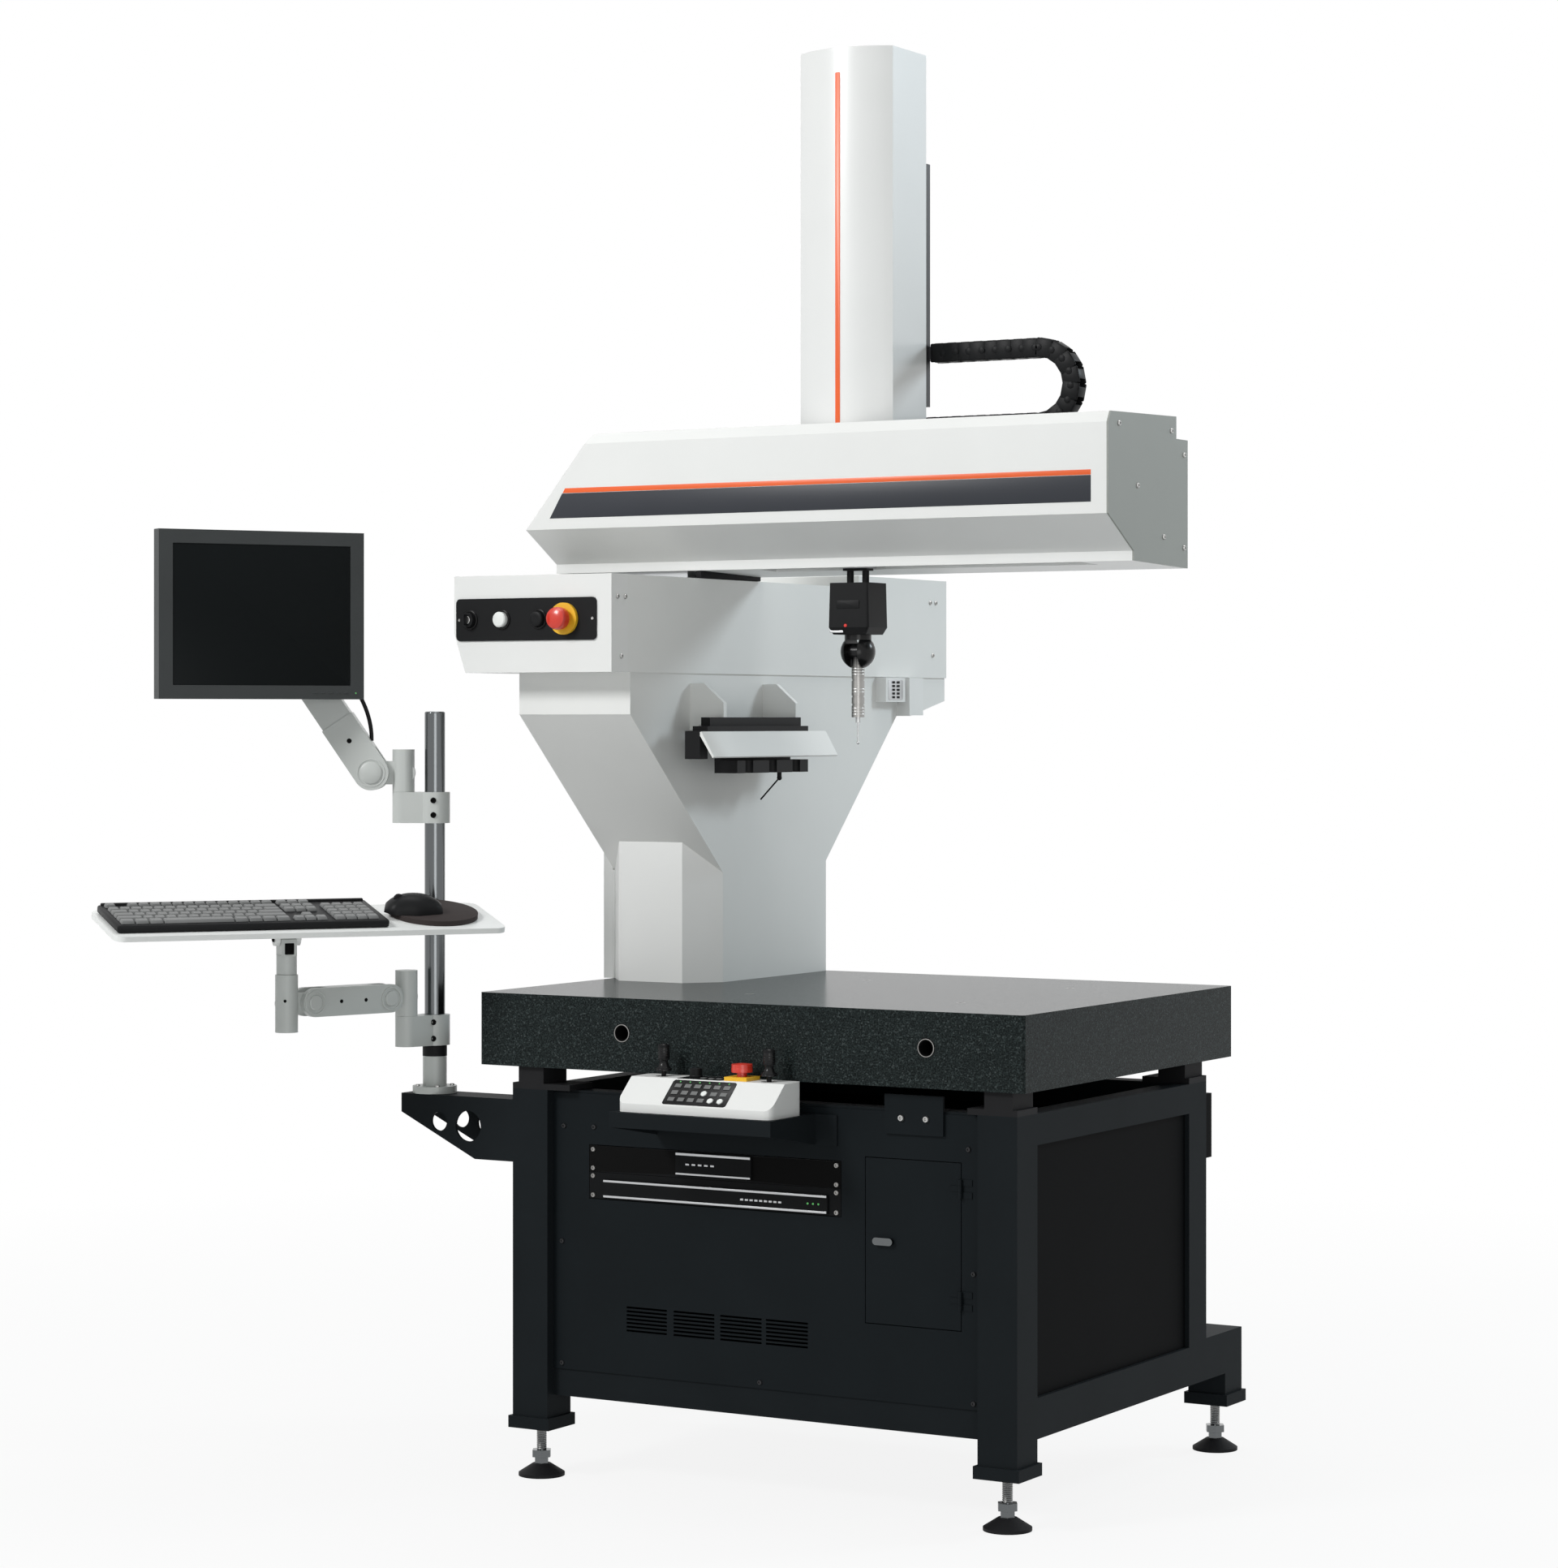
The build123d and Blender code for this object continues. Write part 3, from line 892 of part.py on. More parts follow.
with BuildPart() as pole_clamps:
    for clamp_z, hub, top in ((SCREEN_CLAMP_Z, SCREEN_HUB_XY, SCREEN_SWIVEL_TOP),
                              (TRAY_CLAMP_Z, TRAY_HUB_XY, TRAY_SWIVEL_TOP)):
        rod((POLE_X, POLE_Y, clamp_z[0]), (0, 0, 1), CLAMP_R, clamp_z[1] - clamp_z[0])
        bar(level((clamp_z[0] + clamp_z[1]) / 2), (POLE_X, POLE_Y), hub, 2 * HUB_R,
            clamp_z[1] - clamp_z[0])
        rod((*hub, clamp_z[1]), (0, 0, 1), HUB_PIN_R, top - 8 - clamp_z[1])
        rod((POLE_X, POLE_Y, clamp_z[0]), (0, 0, 1), POLE_R + PIVOT_GAP, clamp_z[1] - clamp_z[0],
            mode=Mode.SUBTRACT)

SCREEN_UP = upright(*SCREEN_HUB_XY, SCREEN_ARM_TURN)
SCREEN_END = (SCREEN_PIVOT + SCREEN_REACH, SCREEN_PIVOT_Z + SCREEN_RISE)
ARM_LEAN = degrees(atan2(SCREEN_RISE, SCREEN_REACH))
ARM_LONG = hypot(SCREEN_RISE, SCREEN_REACH)
FORK = TONGUE + 2 * SLIDE_GAP
ARM_FRAME = leaning(SCREEN_UP, (SCREEN_PIVOT, SCREEN_PIVOT_Z), ARM_LEAN)

with BuildPart() as monitor_swivel:
    rod((*SCREEN_HUB_XY, SCREEN_CLAMP_Z[1] + SLIDE_GAP), (0, 0, 1), HUB_R,
        SCREEN_SWIVEL_TOP - SCREEN_CLAMP_Z[1] - SLIDE_GAP)
    bar(SCREEN_UP, (0, SCREEN_PIVOT_Z), (SCREEN_PIVOT, SCREEN_PIVOT_Z), 40, TONGUE)
    rod((SCREEN_PIVOT, SCREEN_PIVOT_Z, -SCREEN_ARM_WIDE / 2), (0, 0, 1), 7, SCREEN_ARM_WIDE,
        frame=SCREEN_UP)
    rod((*SCREEN_HUB_XY, SCREEN_CLAMP_Z[1]), (0, 0, 1), HUB_PIN_R + PIVOT_GAP,
        SCREEN_SWIVEL_TOP - 7 - SCREEN_CLAMP_Z[1], mode=Mode.SUBTRACT)

with BuildPart() as monitor_arm:
    bar(SCREEN_UP, (SCREEN_PIVOT, SCREEN_PIVOT_Z), SCREEN_END, SCREEN_ARM_HIGH, SCREEN_ARM_WIDE)
    sleeve_r = SCREEN_ARM_HIGH / 2 + ARM_SLEEVE_WALL
    sleeve_half = SCREEN_ARM_WIDE / 2 + ARM_SLEEVE_WALL
    rod((0, 0, -sleeve_half), (0, 0, 1), sleeve_r, 2 * sleeve_half, frame=ARM_FRAME)
    slab((0, ARM_SLEEVE), (-sleeve_r, sleeve_r), (-sleeve_half, sleeve_half), frame=ARM_FRAME)
    for fork_x in ((-40, 34), (ARM_LONG - 34, ARM_LONG + 40)):
        slab(fork_x, (-40, 40), (-FORK / 2, FORK / 2), mode=Mode.SUBTRACT, frame=ARM_FRAME)
    for pin_x in (0, ARM_LONG):
        rod((pin_x, 0, -40), (0, 0, 1), 7 + PIVOT_GAP, 80, mode=Mode.SUBTRACT, frame=ARM_FRAME)

LEAD_TOP = (ARM_LONG - 62, SCREEN_ARM_HIGH / 2)
LEAD_LOW = (46, SCREEN_ARM_HIGH / 2 + ARM_SLEEVE_WALL)

with BuildPart() as monitor_lead:
    with BuildLine(ARM_FRAME) as lead:
        Spline((*LEAD_TOP, 0), (LEAD_TOP[0] - 22, LEAD_TOP[1] + 9, 0), (ARM_LONG / 2 + 10, LEAD_TOP[1] + 27, 0),
               (LEAD_LOW[0] + 30, LEAD_LOW[1] + 16, 0), (*LEAD_LOW, 0))
    with BuildSketch(Plane(lead.line @ 0, z_dir=lead.line % 0)) as lead_round:
        Circle(LEAD_R)
    sweep(lead_round.sketch, path=lead.line)
    slab((-40, ARM_LONG), (-40, SCREEN_ARM_HIGH / 2), (-20, 20), mode=Mode.SUBTRACT, frame=ARM_FRAME)
    slab((-40, ARM_SLEEVE), (-40, LEAD_LOW[1]), (-20, 20), mode=Mode.SUBTRACT, frame=ARM_FRAME)

SCREEN_PAN_XY = ahead(*SCREEN_HUB_XY, SCREEN_ARM_TURN, SCREEN_PIVOT + SCREEN_REACH + SCREEN_PAN)
PAN_Z = (SCREEN_END[1] - 26, SCREEN_END[1] + 22)

with BuildPart() as monitor_head:
    bar(SCREEN_UP, SCREEN_END, (SCREEN_END[0] + 14, SCREEN_END[1]), 34, TONGUE)
    rod((SCREEN_END[0], SCREEN_END[1], -SCREEN_ARM_WIDE / 2), (0, 0, 1), 7, SCREEN_ARM_WIDE,
        frame=SCREEN_UP)
    slab((SCREEN_END[0] - 6, SCREEN_END[0] + SCREEN_PAN), (PAN_Z[0], PAN_Z[0] + 9), (-9, 9), frame=SCREEN_UP)
    rod((*SCREEN_PAN_XY, PAN_Z[0]), (0, 0, 1), 14, 9)
    rod((*SCREEN_PAN_XY, PAN_Z[0]), (0, 0, 1), 7, PAN_Z[1] - PAN_Z[0])

SCREEN_FRAME = turned(*SCREEN_PAN_XY, SCREEN_END[1], SCREEN_TURN)

with BuildPart() as monitor_tilter:
    rod((0, 0, PAN_Z[0] + 9 + SLIDE_GAP - SCREEN_END[1]), (0, 0, 1), 14, 38, frame=SCREEN_FRAME)
    slab((-12, 12), (-SCREEN_TILT, 0), (-9, 9), frame=SCREEN_FRAME)
    rod((-12, -SCREEN_TILT, 0), (1, 0, 0), 9, 24, frame=SCREEN_FRAME)
    rod((-22, -SCREEN_TILT, 0), (1, 0, 0), 5, 44, frame=SCREEN_FRAME)
    rod((0, 0, -60), (0, 0, 1), 7 + PIVOT_GAP, 120, mode=Mode.SUBTRACT, frame=SCREEN_FRAME)

BACK_Y = -SCREEN_TILT - SCREEN_BACK
FACE_Y = BACK_Y - MONITOR_DEEP

with BuildPart() as monitor:
    slab((-MONITOR_WIDE / 2, MONITOR_WIDE / 2), (FACE_Y, FACE_Y + 24), (-MONITOR_HIGH / 2, MONITOR_HIGH / 2),
         frame=SCREEN_FRAME)
    slab((-150, 150), (FACE_Y + 24, BACK_Y), (-105, 105), frame=SCREEN_FRAME)
    slab((-50, 50), (BACK_Y, BACK_Y + 4), (-50, 50), frame=SCREEN_FRAME)
    for side in (-1, 1):
        lug_x = (side * 12.6, side * 21)
        slab(lug_x, (BACK_Y, -SCREEN_TILT), (-9, 9), frame=SCREEN_FRAME)
        rod((min(lug_x), -SCREEN_TILT, 0), (1, 0, 0), 9, 8.4, frame=SCREEN_FRAME)
    rod((-30, -SCREEN_TILT, 0), (1, 0, 0), 5 + PIVOT_GAP, 60, mode=Mode.SUBTRACT, frame=SCREEN_FRAME)
    slab((-PANE_WIDE / 2, PANE_WIDE / 2), (FACE_Y, FACE_Y + 2), (-PANE_HIGH / 2, PANE_HIGH / 2),
         mode=Mode.SUBTRACT, frame=SCREEN_FRAME)

TRAY_UP = upright(*TRAY_HUB_XY, TRAY_ARM_TURN)
TRAY_POST_XY = ahead(*TRAY_HUB_XY, TRAY_ARM_TURN, TRAY_POST)
TRAY_END = TRAY_POST - TRAY_BOSS

with BuildPart() as keyboard_swivel:
    rod((*TRAY_HUB_XY, TRAY_CLAMP_Z[1] + SLIDE_GAP), (0, 0, 1), HUB_R,
        TRAY_SWIVEL_TOP - TRAY_CLAMP_Z[1] - SLIDE_GAP)
    bar(TRAY_UP, (0, TRAY_ARM_Z), (TRAY_BOSS, TRAY_ARM_Z), 34, TONGUE)
    rod((TRAY_BOSS, TRAY_ARM_Z, -TRAY_ARM_WIDE / 2), (0, 0, 1), 6, TRAY_ARM_WIDE, frame=TRAY_UP)
    rod((*TRAY_HUB_XY, TRAY_CLAMP_Z[1]), (0, 0, 1), HUB_PIN_R + PIVOT_GAP,
        TRAY_SWIVEL_TOP - 7 - TRAY_CLAMP_Z[1], mode=Mode.SUBTRACT)

with BuildPart() as keyboard_arm:
    bar(TRAY_UP, (TRAY_BOSS, TRAY_ARM_Z), (TRAY_END, TRAY_ARM_Z), TRAY_ARM_HIGH, TRAY_ARM_WIDE)
    for fork_x in ((TRAY_BOSS - 40, TRAY_BOSS + 30), (TRAY_END - 30, TRAY_END + 40)):
        slab(fork_x, (TRAY_ARM_Z - 40, TRAY_ARM_Z + 40), (-FORK / 2, FORK / 2), mode=Mode.SUBTRACT,
             frame=TRAY_UP)
    for pin_x in (TRAY_BOSS, TRAY_END):
        rod((pin_x, TRAY_ARM_Z, -40), (0, 0, 1), 6 + PIVOT_GAP, 80, mode=Mode.SUBTRACT, frame=TRAY_UP)

with BuildPart() as keyboard_post:
    rod((*TRAY_POST_XY, POST_Z[0]), (0, 0, 1), POST_R, POST_Z[1] - POST_Z[0])
    bar(TRAY_UP, (TRAY_END, TRAY_ARM_Z), (TRAY_POST, TRAY_ARM_Z), 34, TONGUE)
    rod((TRAY_END, TRAY_ARM_Z, -TRAY_ARM_WIDE / 2), (0, 0, 1), 6, TRAY_ARM_WIDE, frame=TRAY_UP)
    rod((*TRAY_POST_XY, POST_Z[1]), (0, 0, 1), 8, 26)

TILT_FRAME = turned(*TRAY_POST_XY, TILT_Z, TRAY_TURN)

with BuildPart() as tray_bracket:
    rod((*TRAY_POST_XY, POST_Z[1] + SLIDE_GAP), (0, 0, 1), 17, 32)
    slab((-13, 13), (-16, 16), (POST_Z[1] + 31 - TILT_Z, 0), frame=TILT_FRAME)
    rod((-13, 0, 0), (1, 0, 0), 11, 26, frame=TILT_FRAME)
    rod((-22, 0, 0), (1, 0, 0), 5, 44, frame=TILT_FRAME)
    rod((*TRAY_POST_XY, POST_Z[1]), (0, 0, 1), 8 + PIVOT_GAP, 27, mode=Mode.SUBTRACT)

TRAY_XY = ahead(*TRAY_POST_XY, TRAY_TURN - 90, TRAY_FORWARD)
TRAY_FRAME = turned(*TRAY_XY, TRAY_Z, TRAY_TURN, TRAY_TILT)

with BuildPart() as keyboard_tray:
    with BuildSketch(TRAY_FRAME):
        with Locations((TRAY_SHIFT, 0)):
            RectangleRounded(TRAY_WIDE, TRAY_DEEP, 18)
    extrude(amount=-TRAY_THICK)
    with BuildSketch(TRAY_FRAME):
        with Locations((MAT_X, MAT_Y)):
            Circle(MAT_R)
    extrude(amount=MAT_THICK)
    for side in (-1, 1):
        lug_x = (side * 13.6, side * 22)
        slab(lug_x, (-11, 11), (0, 33), frame=TILT_FRAME)
        rod((min(lug_x), 0, 0), (1, 0, 0), 11, 8.4, frame=TILT_FRAME)
    rod((-30, 0, 0), (1, 0, 0), 5 + PIVOT_GAP, 60, mode=Mode.SUBTRACT, frame=TILT_FRAME)

with BuildPart() as keyboard:
    slab((KEYBOARD_X - KEYBOARD_WIDE / 2, KEYBOARD_X + KEYBOARD_WIDE / 2),
         (KEYBOARD_Y - KEYBOARD_DEEP / 2, KEYBOARD_Y + KEYBOARD_DEEP / 2), (0, KEYBOARD_THICK),
         frame=TRAY_FRAME)
    fillet(keyboard.edges().group_by(SortBy.LENGTH)[0], radius=8)
    with BuildSketch(TRAY_FRAME.offset(KEYBOARD_THICK)):
        for area_x, area_y, columns, rows in ((-80, -14, 15, 5), (-80, 50, 15, 1), (97, -14, 3, 5),
                                              (176, -14, 4, 5)):
            with Locations((KEYBOARD_X + area_x, KEYBOARD_Y + area_y)):
                with GridLocations(KEY_PITCH, KEY_PITCH, columns, rows):
                    Rectangle(KEY_PITCH - 3, KEY_PITCH - 3)
    extrude(amount=5)

with BuildPart() as mouse:
    with BuildSketch(TRAY_FRAME.offset(MAT_THICK + SLIDE_GAP)):
        with Locations((MOUSE_X, MOUSE_Y)):
            RectangleRounded(MOUSE_LONG, MOUSE_WIDE, 28)
    extrude(amount=MOUSE_HIGH)
    fillet(mouse.faces().sort_by(Axis.Z)[-1].edges(), radius=MOUSE_CROWN)

PARTS = {
    "stand_frame": stand_frame, "rubber_pads": rubber_pads,
    "foot_studs": foot_studs, "front_panel": front_panel, "rack_units": rack_units,
    "cabinet_panels": cabinet_panels, "access_door": access_door, "door_hinges": door_hinges,
    "door_latch": door_latch, "joystick_shelf": joystick_shelf, "joystick_box": joystick_box,
    "left_gimbal": left_gimbal, "left_stick": left_stick, "right_stick": right_stick,
    "box_estop": box_estop, "feed_knob": feed_knob, "granite_table": granite_table,
    "table_inserts": table_inserts, "column": column, "column_covers": column_covers,
    "y_housing": y_housing, "y_rails": y_rails, "control_box": control_box,
    "control_plate": control_plate, "key_switch": key_switch, "start_button": start_button,
    "black_button": black_button, "panel_estop": panel_estop, "estop_collars": estop_collars,
    "remote_unit": remote_unit, "stylus_rack_mount": stylus_rack_mount, "stylus_rack": stylus_rack,
    "beam_cover": beam_cover, "beam_end_plate": beam_end_plate, "beam": beam, "x_rails": x_rails,
    "cable_chain": cable_chain, "x_carriage": x_carriage, "tower_cover": tower_cover, "z_ram": z_ram,
    "probe_head": probe_head, "head_knuckle": head_knuckle, "probe_body": probe_body, "stylus": stylus,
    "pole_bracket": pole_bracket, "pole": pole, "pole_clamps": pole_clamps,
    "monitor_swivel": monitor_swivel, "monitor_arm": monitor_arm, "monitor_lead": monitor_lead,
    "monitor_head": monitor_head,
    "monitor_tilter": monitor_tilter, "monitor": monitor, "keyboard_swivel": keyboard_swivel,
    "keyboard_arm": keyboard_arm, "keyboard_post": keyboard_post, "tray_bracket": tray_bracket,
    "keyboard_tray": keyboard_tray, "keyboard": keyboard, "mouse": mouse,
}

os.makedirs("parts", exist_ok=True)
for node, builder in PARTS.items():
    builder.part.label = node
    export_step(builder.part, f"parts/{node}.step")
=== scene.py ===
from contextlib import contextmanager
from math import atan2, cos, pi, radians, sin

import bmesh
import bpy
from mathutils import Matrix, Vector


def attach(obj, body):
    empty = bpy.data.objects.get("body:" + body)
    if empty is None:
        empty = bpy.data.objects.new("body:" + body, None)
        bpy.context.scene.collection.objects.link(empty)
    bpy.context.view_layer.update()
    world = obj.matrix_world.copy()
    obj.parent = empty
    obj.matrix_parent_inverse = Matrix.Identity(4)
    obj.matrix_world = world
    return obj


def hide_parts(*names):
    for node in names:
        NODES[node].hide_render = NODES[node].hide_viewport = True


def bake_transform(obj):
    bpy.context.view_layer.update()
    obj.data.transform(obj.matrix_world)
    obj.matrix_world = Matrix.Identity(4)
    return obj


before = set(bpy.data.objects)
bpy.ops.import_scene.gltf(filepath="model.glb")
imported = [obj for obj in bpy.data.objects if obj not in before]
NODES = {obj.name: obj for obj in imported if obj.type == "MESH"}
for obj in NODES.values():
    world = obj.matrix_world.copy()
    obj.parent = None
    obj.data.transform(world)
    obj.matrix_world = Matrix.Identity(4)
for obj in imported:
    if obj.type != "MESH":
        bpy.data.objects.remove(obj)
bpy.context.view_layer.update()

# Lengths below are millimetres from the middle of the granite table, as in the solids.
MM = 0.001
TABLE = Vector((212, 64, 0))
RIGHT = (1, 0, 0)
FORWARD = (0, -1, 0)
BACK = (0, 1, 0)
UP = (0, 0, 1)


def at(x, y, z):
    """Point of the machine in the scene's metres."""
    return (Vector((x, y, z)) + TABLE) * MM


def face(x, y, z, out=FORWARD, up=UP):
    """Matrix that puts a millimetre shape on a surface: its Z points out and its Y points up."""
    normal = Vector(out).normalized()
    side = Vector(up).cross(normal).normalized()
    rise = normal.cross(side)
    turn = Matrix((side, rise, normal)).transposed().to_4x4()
    return Matrix.Translation(at(x, y, z)) @ turn @ Matrix.Scale(MM, 4)


def upright(x, y, z):
    """Matrix for a shape that stands on a level surface, along the machine's own axes."""
    return face(x, y, z, out=UP, up=BACK)


def moved(m, shift, turn=0, axis="X"):
    """A frame shifted along its own axes, then turned about one of them by degrees."""
    return m @ Matrix.Translation(shift) @ Matrix.Rotation(radians(turn), 4, axis)


def heading(turn):
    """Level direction at an angle in degrees from the X axis."""
    return cos(radians(turn)), sin(radians(turn))


def across(turn):
    """Level normal to a heading."""
    return Vector((sin(radians(turn)), -cos(radians(turn)), 0))


def ahead(xy, turn, reach):
    """Point at a distance from another, along a heading."""
    dx, dy = heading(turn)
    return xy[0] + reach * dx, xy[1] + reach * dy


def post_face(xy, turn, radius, z):
    """Surface of an upright round post, at a heading from its axis."""
    return face(*ahead(xy, turn, radius), z, out=(*heading(turn), 0))


def arm_side(pivot, side, half, sign, shift=(0, 0, 0)):
    """Flank of an arm at a pivot or shifted from it, where side is the arm's level normal."""
    return face(*(pivot + sign * half * side + Vector(shift)), out=sign * side)


def turned(xy, z, turn, tilt=0):
    """The solids' turned and tilted frame, as a matrix for millimetre shapes."""
    a, t = radians(turn), radians(tilt)
    out = (sin(a) * sin(t), -cos(a) * sin(t), cos(t))
    side = Vector((cos(a), sin(a), 0))
    return face(*xy, z, out=out, up=Vector(out).cross(side))


TABLE_AXES = upright(0, 0, 0)

# Operator station, with headings in degrees and reaches along them, as in the solids
POLE = (-640, -351)
SCREEN_ARM_TURN = 211
SCREEN_PIVOT_OUT = 54
SCREEN_PIVOT_Z = 1182
SCREEN_REACH = 180
SCREEN_RISE = 267
SCREEN_HUB = ahead(POLE, 207.5, 54)
SCREEN_PAN = ahead(SCREEN_HUB, SCREEN_ARM_TURN, SCREEN_PIVOT_OUT + SCREEN_REACH + 62)
SCREEN = turned(SCREEN_PAN, SCREEN_PIVOT_Z + SCREEN_RISE, 59)
TRAY_ARM_TURN = 252
TRAY_ARM_Z = 801
TRAY_TURN = 55
TRAY_HUB = ahead(POLE, TRAY_ARM_TURN, 60)
TRAY_POST = ahead(TRAY_HUB, TRAY_ARM_TURN, 245)
TRAY = turned(ahead(TRAY_POST, TRAY_TURN - 90, 30), 942, TRAY_TURN, 12)
TILT = turned(TRAY_POST, 908, TRAY_TURN)


# Materials

def finish(name, color, rough, metal=0.0, coat=0.0, mottle=0.05, patch=7.0, bump=0.0, grain=900.0,
           stretch=(1, 1, 1), rough_spread=0.08, shine=0.5):
    """Surface with slow colour drift, fine grain in its gloss and a shallow relief."""
    m = bpy.data.materials.new(name)
    m.use_nodes = True
    t = m.node_tree
    shader = t.nodes["Principled BSDF"]
    shader.inputs["Metallic"].default_value = metal
    shader.inputs["Coat Weight"].default_value = coat
    shader.inputs["Coat Roughness"].default_value = 0.12
    shader.inputs["Specular IOR Level"].default_value = shine
    coords = t.nodes.new("ShaderNodeTexCoord")
    mapping = t.nodes.new("ShaderNodeMapping")
    mapping.inputs["Scale"].default_value = stretch
    t.links.new(coords.outputs["Object"], mapping.inputs["Vector"])
    slow = t.nodes.new("ShaderNodeTexNoise")
    slow.inputs["Scale"].default_value = patch
    slow.inputs["Detail"].default_value = 4
    t.links.new(mapping.outputs["Vector"], slow.inputs["Vector"])
    ramp = t.nodes.new("ShaderNodeValToRGB")
    ramp.color_ramp.elements[0].position = 0.3
    ramp.color_ramp.elements[1].position = 0.7
    ramp.color_ramp.elements[0].color = (*[c * (1 - mottle) for c in color], 1)
    ramp.color_ramp.elements[1].color = (*[min(1, c * (1 + mottle)) for c in color], 1)
    t.links.new(slow.outputs["Fac"], ramp.inputs["Fac"])
    t.links.new(ramp.outputs["Color"], shader.inputs["Base Color"])
    fine = t.nodes.new("ShaderNodeTexNoise")
    fine.inputs["Scale"].default_value = grain
    fine.inputs["Detail"].default_value = 2
    t.links.new(mapping.outputs["Vector"], fine.inputs["Vector"])
    gloss = t.nodes.new("ShaderNodeMapRange")
    gloss.inputs["To Min"].default_value = max(0.02, rough - rough_spread)
    gloss.inputs["To Max"].default_value = min(1, rough + rough_spread)
    t.links.new(fine.outputs["Fac"], gloss.inputs["Value"])
    t.links.new(gloss.outputs["Result"], shader.inputs["Roughness"])
    if bump:
        relief = t.nodes.new("ShaderNodeBump")
        relief.inputs["Strength"].default_value = bump
        relief.inputs["Distance"].default_value = 0.0004
        t.links.new(fine.outputs["Fac"], relief.inputs["Height"])
        t.links.new(relief.outputs["Normal"], shader.inputs["Normal"])
    return m


# Share of the crystals below each tone, and the tone
CRYSTALS = (
    (0.0, (0.004, 0.006, 0.006)),
    (0.40, (0.009, 0.013, 0.013)),
    (0.70, (0.017, 0.024, 0.024)),
    (0.86, (0.040, 0.052, 0.052)),
    (0.96, (0.072, 0.086, 0.086)),
)
DUST = ((0.42, (0.005, 0.007, 0.007)), (0.66, (0.046, 0.058, 0.058)))


def color_stops(ramp, stops):
    """Sets a colour ramp, which starts with two stops, to the stops given."""
    for i, (position, color) in enumerate(stops):
        stop = ramp.elements[i] if i < 2 else ramp.elements.new(position)
        stop.position = position
        stop.color = (*color, 1)


def granite():
    """Fine dark granite: pale and black crystals in a blue-grey ground, with a soft sheen."""
    m = bpy.data.materials.new("granite_stone")
    m.use_nodes = True
    t = m.node_tree
    shader = t.nodes["Principled BSDF"]
    shader.inputs["Specular IOR Level"].default_value = 0.05
    coords = t.nodes.new("ShaderNodeTexCoord")
    crystal = t.nodes.new("ShaderNodeTexVoronoi")
    crystal.inputs["Scale"].default_value = 430
    t.links.new(coords.outputs["Object"], crystal.inputs["Vector"])
    cloud = t.nodes.new("ShaderNodeTexNoise")
    cloud.inputs["Scale"].default_value = 420
    cloud.inputs["Detail"].default_value = 5
    t.links.new(coords.outputs["Object"], cloud.inputs["Vector"])
    tone = t.nodes.new("ShaderNodeSeparateColor")
    t.links.new(crystal.outputs["Color"], tone.inputs["Color"])
    grains = t.nodes.new("ShaderNodeValToRGB")
    grains.color_ramp.interpolation = "CONSTANT"
    color_stops(grains.color_ramp, CRYSTALS)
    t.links.new(tone.outputs["Red"], grains.inputs["Fac"])
    dust = t.nodes.new("ShaderNodeValToRGB")
    color_stops(dust.color_ramp, DUST)
    t.links.new(cloud.outputs["Fac"], dust.inputs["Fac"])
    mix = t.nodes.new("ShaderNodeMix")
    mix.data_type = "RGBA"
    mix.inputs["Factor"].default_value = 0.5
    t.links.new(grains.outputs["Color"], mix.inputs["A"])
    t.links.new(dust.outputs["Color"], mix.inputs["B"])
    t.links.new(mix.outputs["Result"], shader.inputs["Base Color"])
    gloss = t.nodes.new("ShaderNodeMapRange")
    gloss.inputs["To Min"].default_value = 0.12
    gloss.inputs["To Max"].default_value = 0.30
    t.links.new(cloud.outputs["Fac"], gloss.inputs["Value"])
    t.links.new(gloss.outputs["Result"], shader.inputs["Roughness"])
    return m


WHITE = finish("white_powder", (0.77, 0.775, 0.76), 0.42, mottle=0.012, bump=0.06, grain=1500)
COVER = finish("white_shell", (0.78, 0.785, 0.775), 0.36, mottle=0.012, bump=0.04, grain=1700)
TOWER = finish("tower_shell", (0.78, 0.785, 0.78), 0.30, mottle=0.012, bump=0.03, grain=1700, coat=0.2)
# Grey paint of the beam's end plate, made darker still as painted shade on the beam's end face.
END_PLATE_GREY_AND_SHADE = finish("end_plate_grey_and_shade", (0.28, 0.29, 0.27), 0.42, mottle=0.015, bump=0.06, grain=1500)
CHARCOAL = finish("charcoal_powder", (0.0115, 0.0140, 0.0158), 0.50, mottle=0.08, bump=0.12, grain=1300,
                  shine=0.03)
PANEL = finish("black_sheet", (0.0072, 0.0096, 0.0112), 0.48, mottle=0.08, bump=0.10, grain=1400,
               shine=0.06)
# Black sheet of the cabinet's sides, made darker than the frame's black as painted shade in its recess.
SIDE_SHEET_SHADED = finish("side_sheet_painted_shade", (0.0035, 0.0038, 0.0042), 0.55, mottle=0.08, bump=0.10, grain=1400,
                    shine=0.02)
RACK = finish("rack_black", (0.006, 0.0065, 0.007), 0.48, mottle=0.08, bump=0.06, shine=0.06)
RUBBER = finish("black_rubber", (0.010, 0.010, 0.011), 0.62, mottle=0.14, bump=0.10, grain=600,
                shine=0.12)
BLACK = finish("black_moulded", (0.0105, 0.0108, 0.0115), 0.42, mottle=0.10, bump=0.07, grain=1800,
               shine=0.10)
GLOSSY = finish("black_gloss", (0.007, 0.007, 0.0075), 0.24, mottle=0.06, shine=0.22)
STEEL = finish("zinc_steel_finish", (0.44, 0.44, 0.43), 0.34, metal=1.0, mottle=0.10, patch=60, grain=700)
BRUSHED = finish("brushed_steel_finish", (0.30, 0.295, 0.285), 0.36, metal=1.0, mottle=0.08, grain=500,
                 stretch=(1, 1, 0.04), bump=0.08)
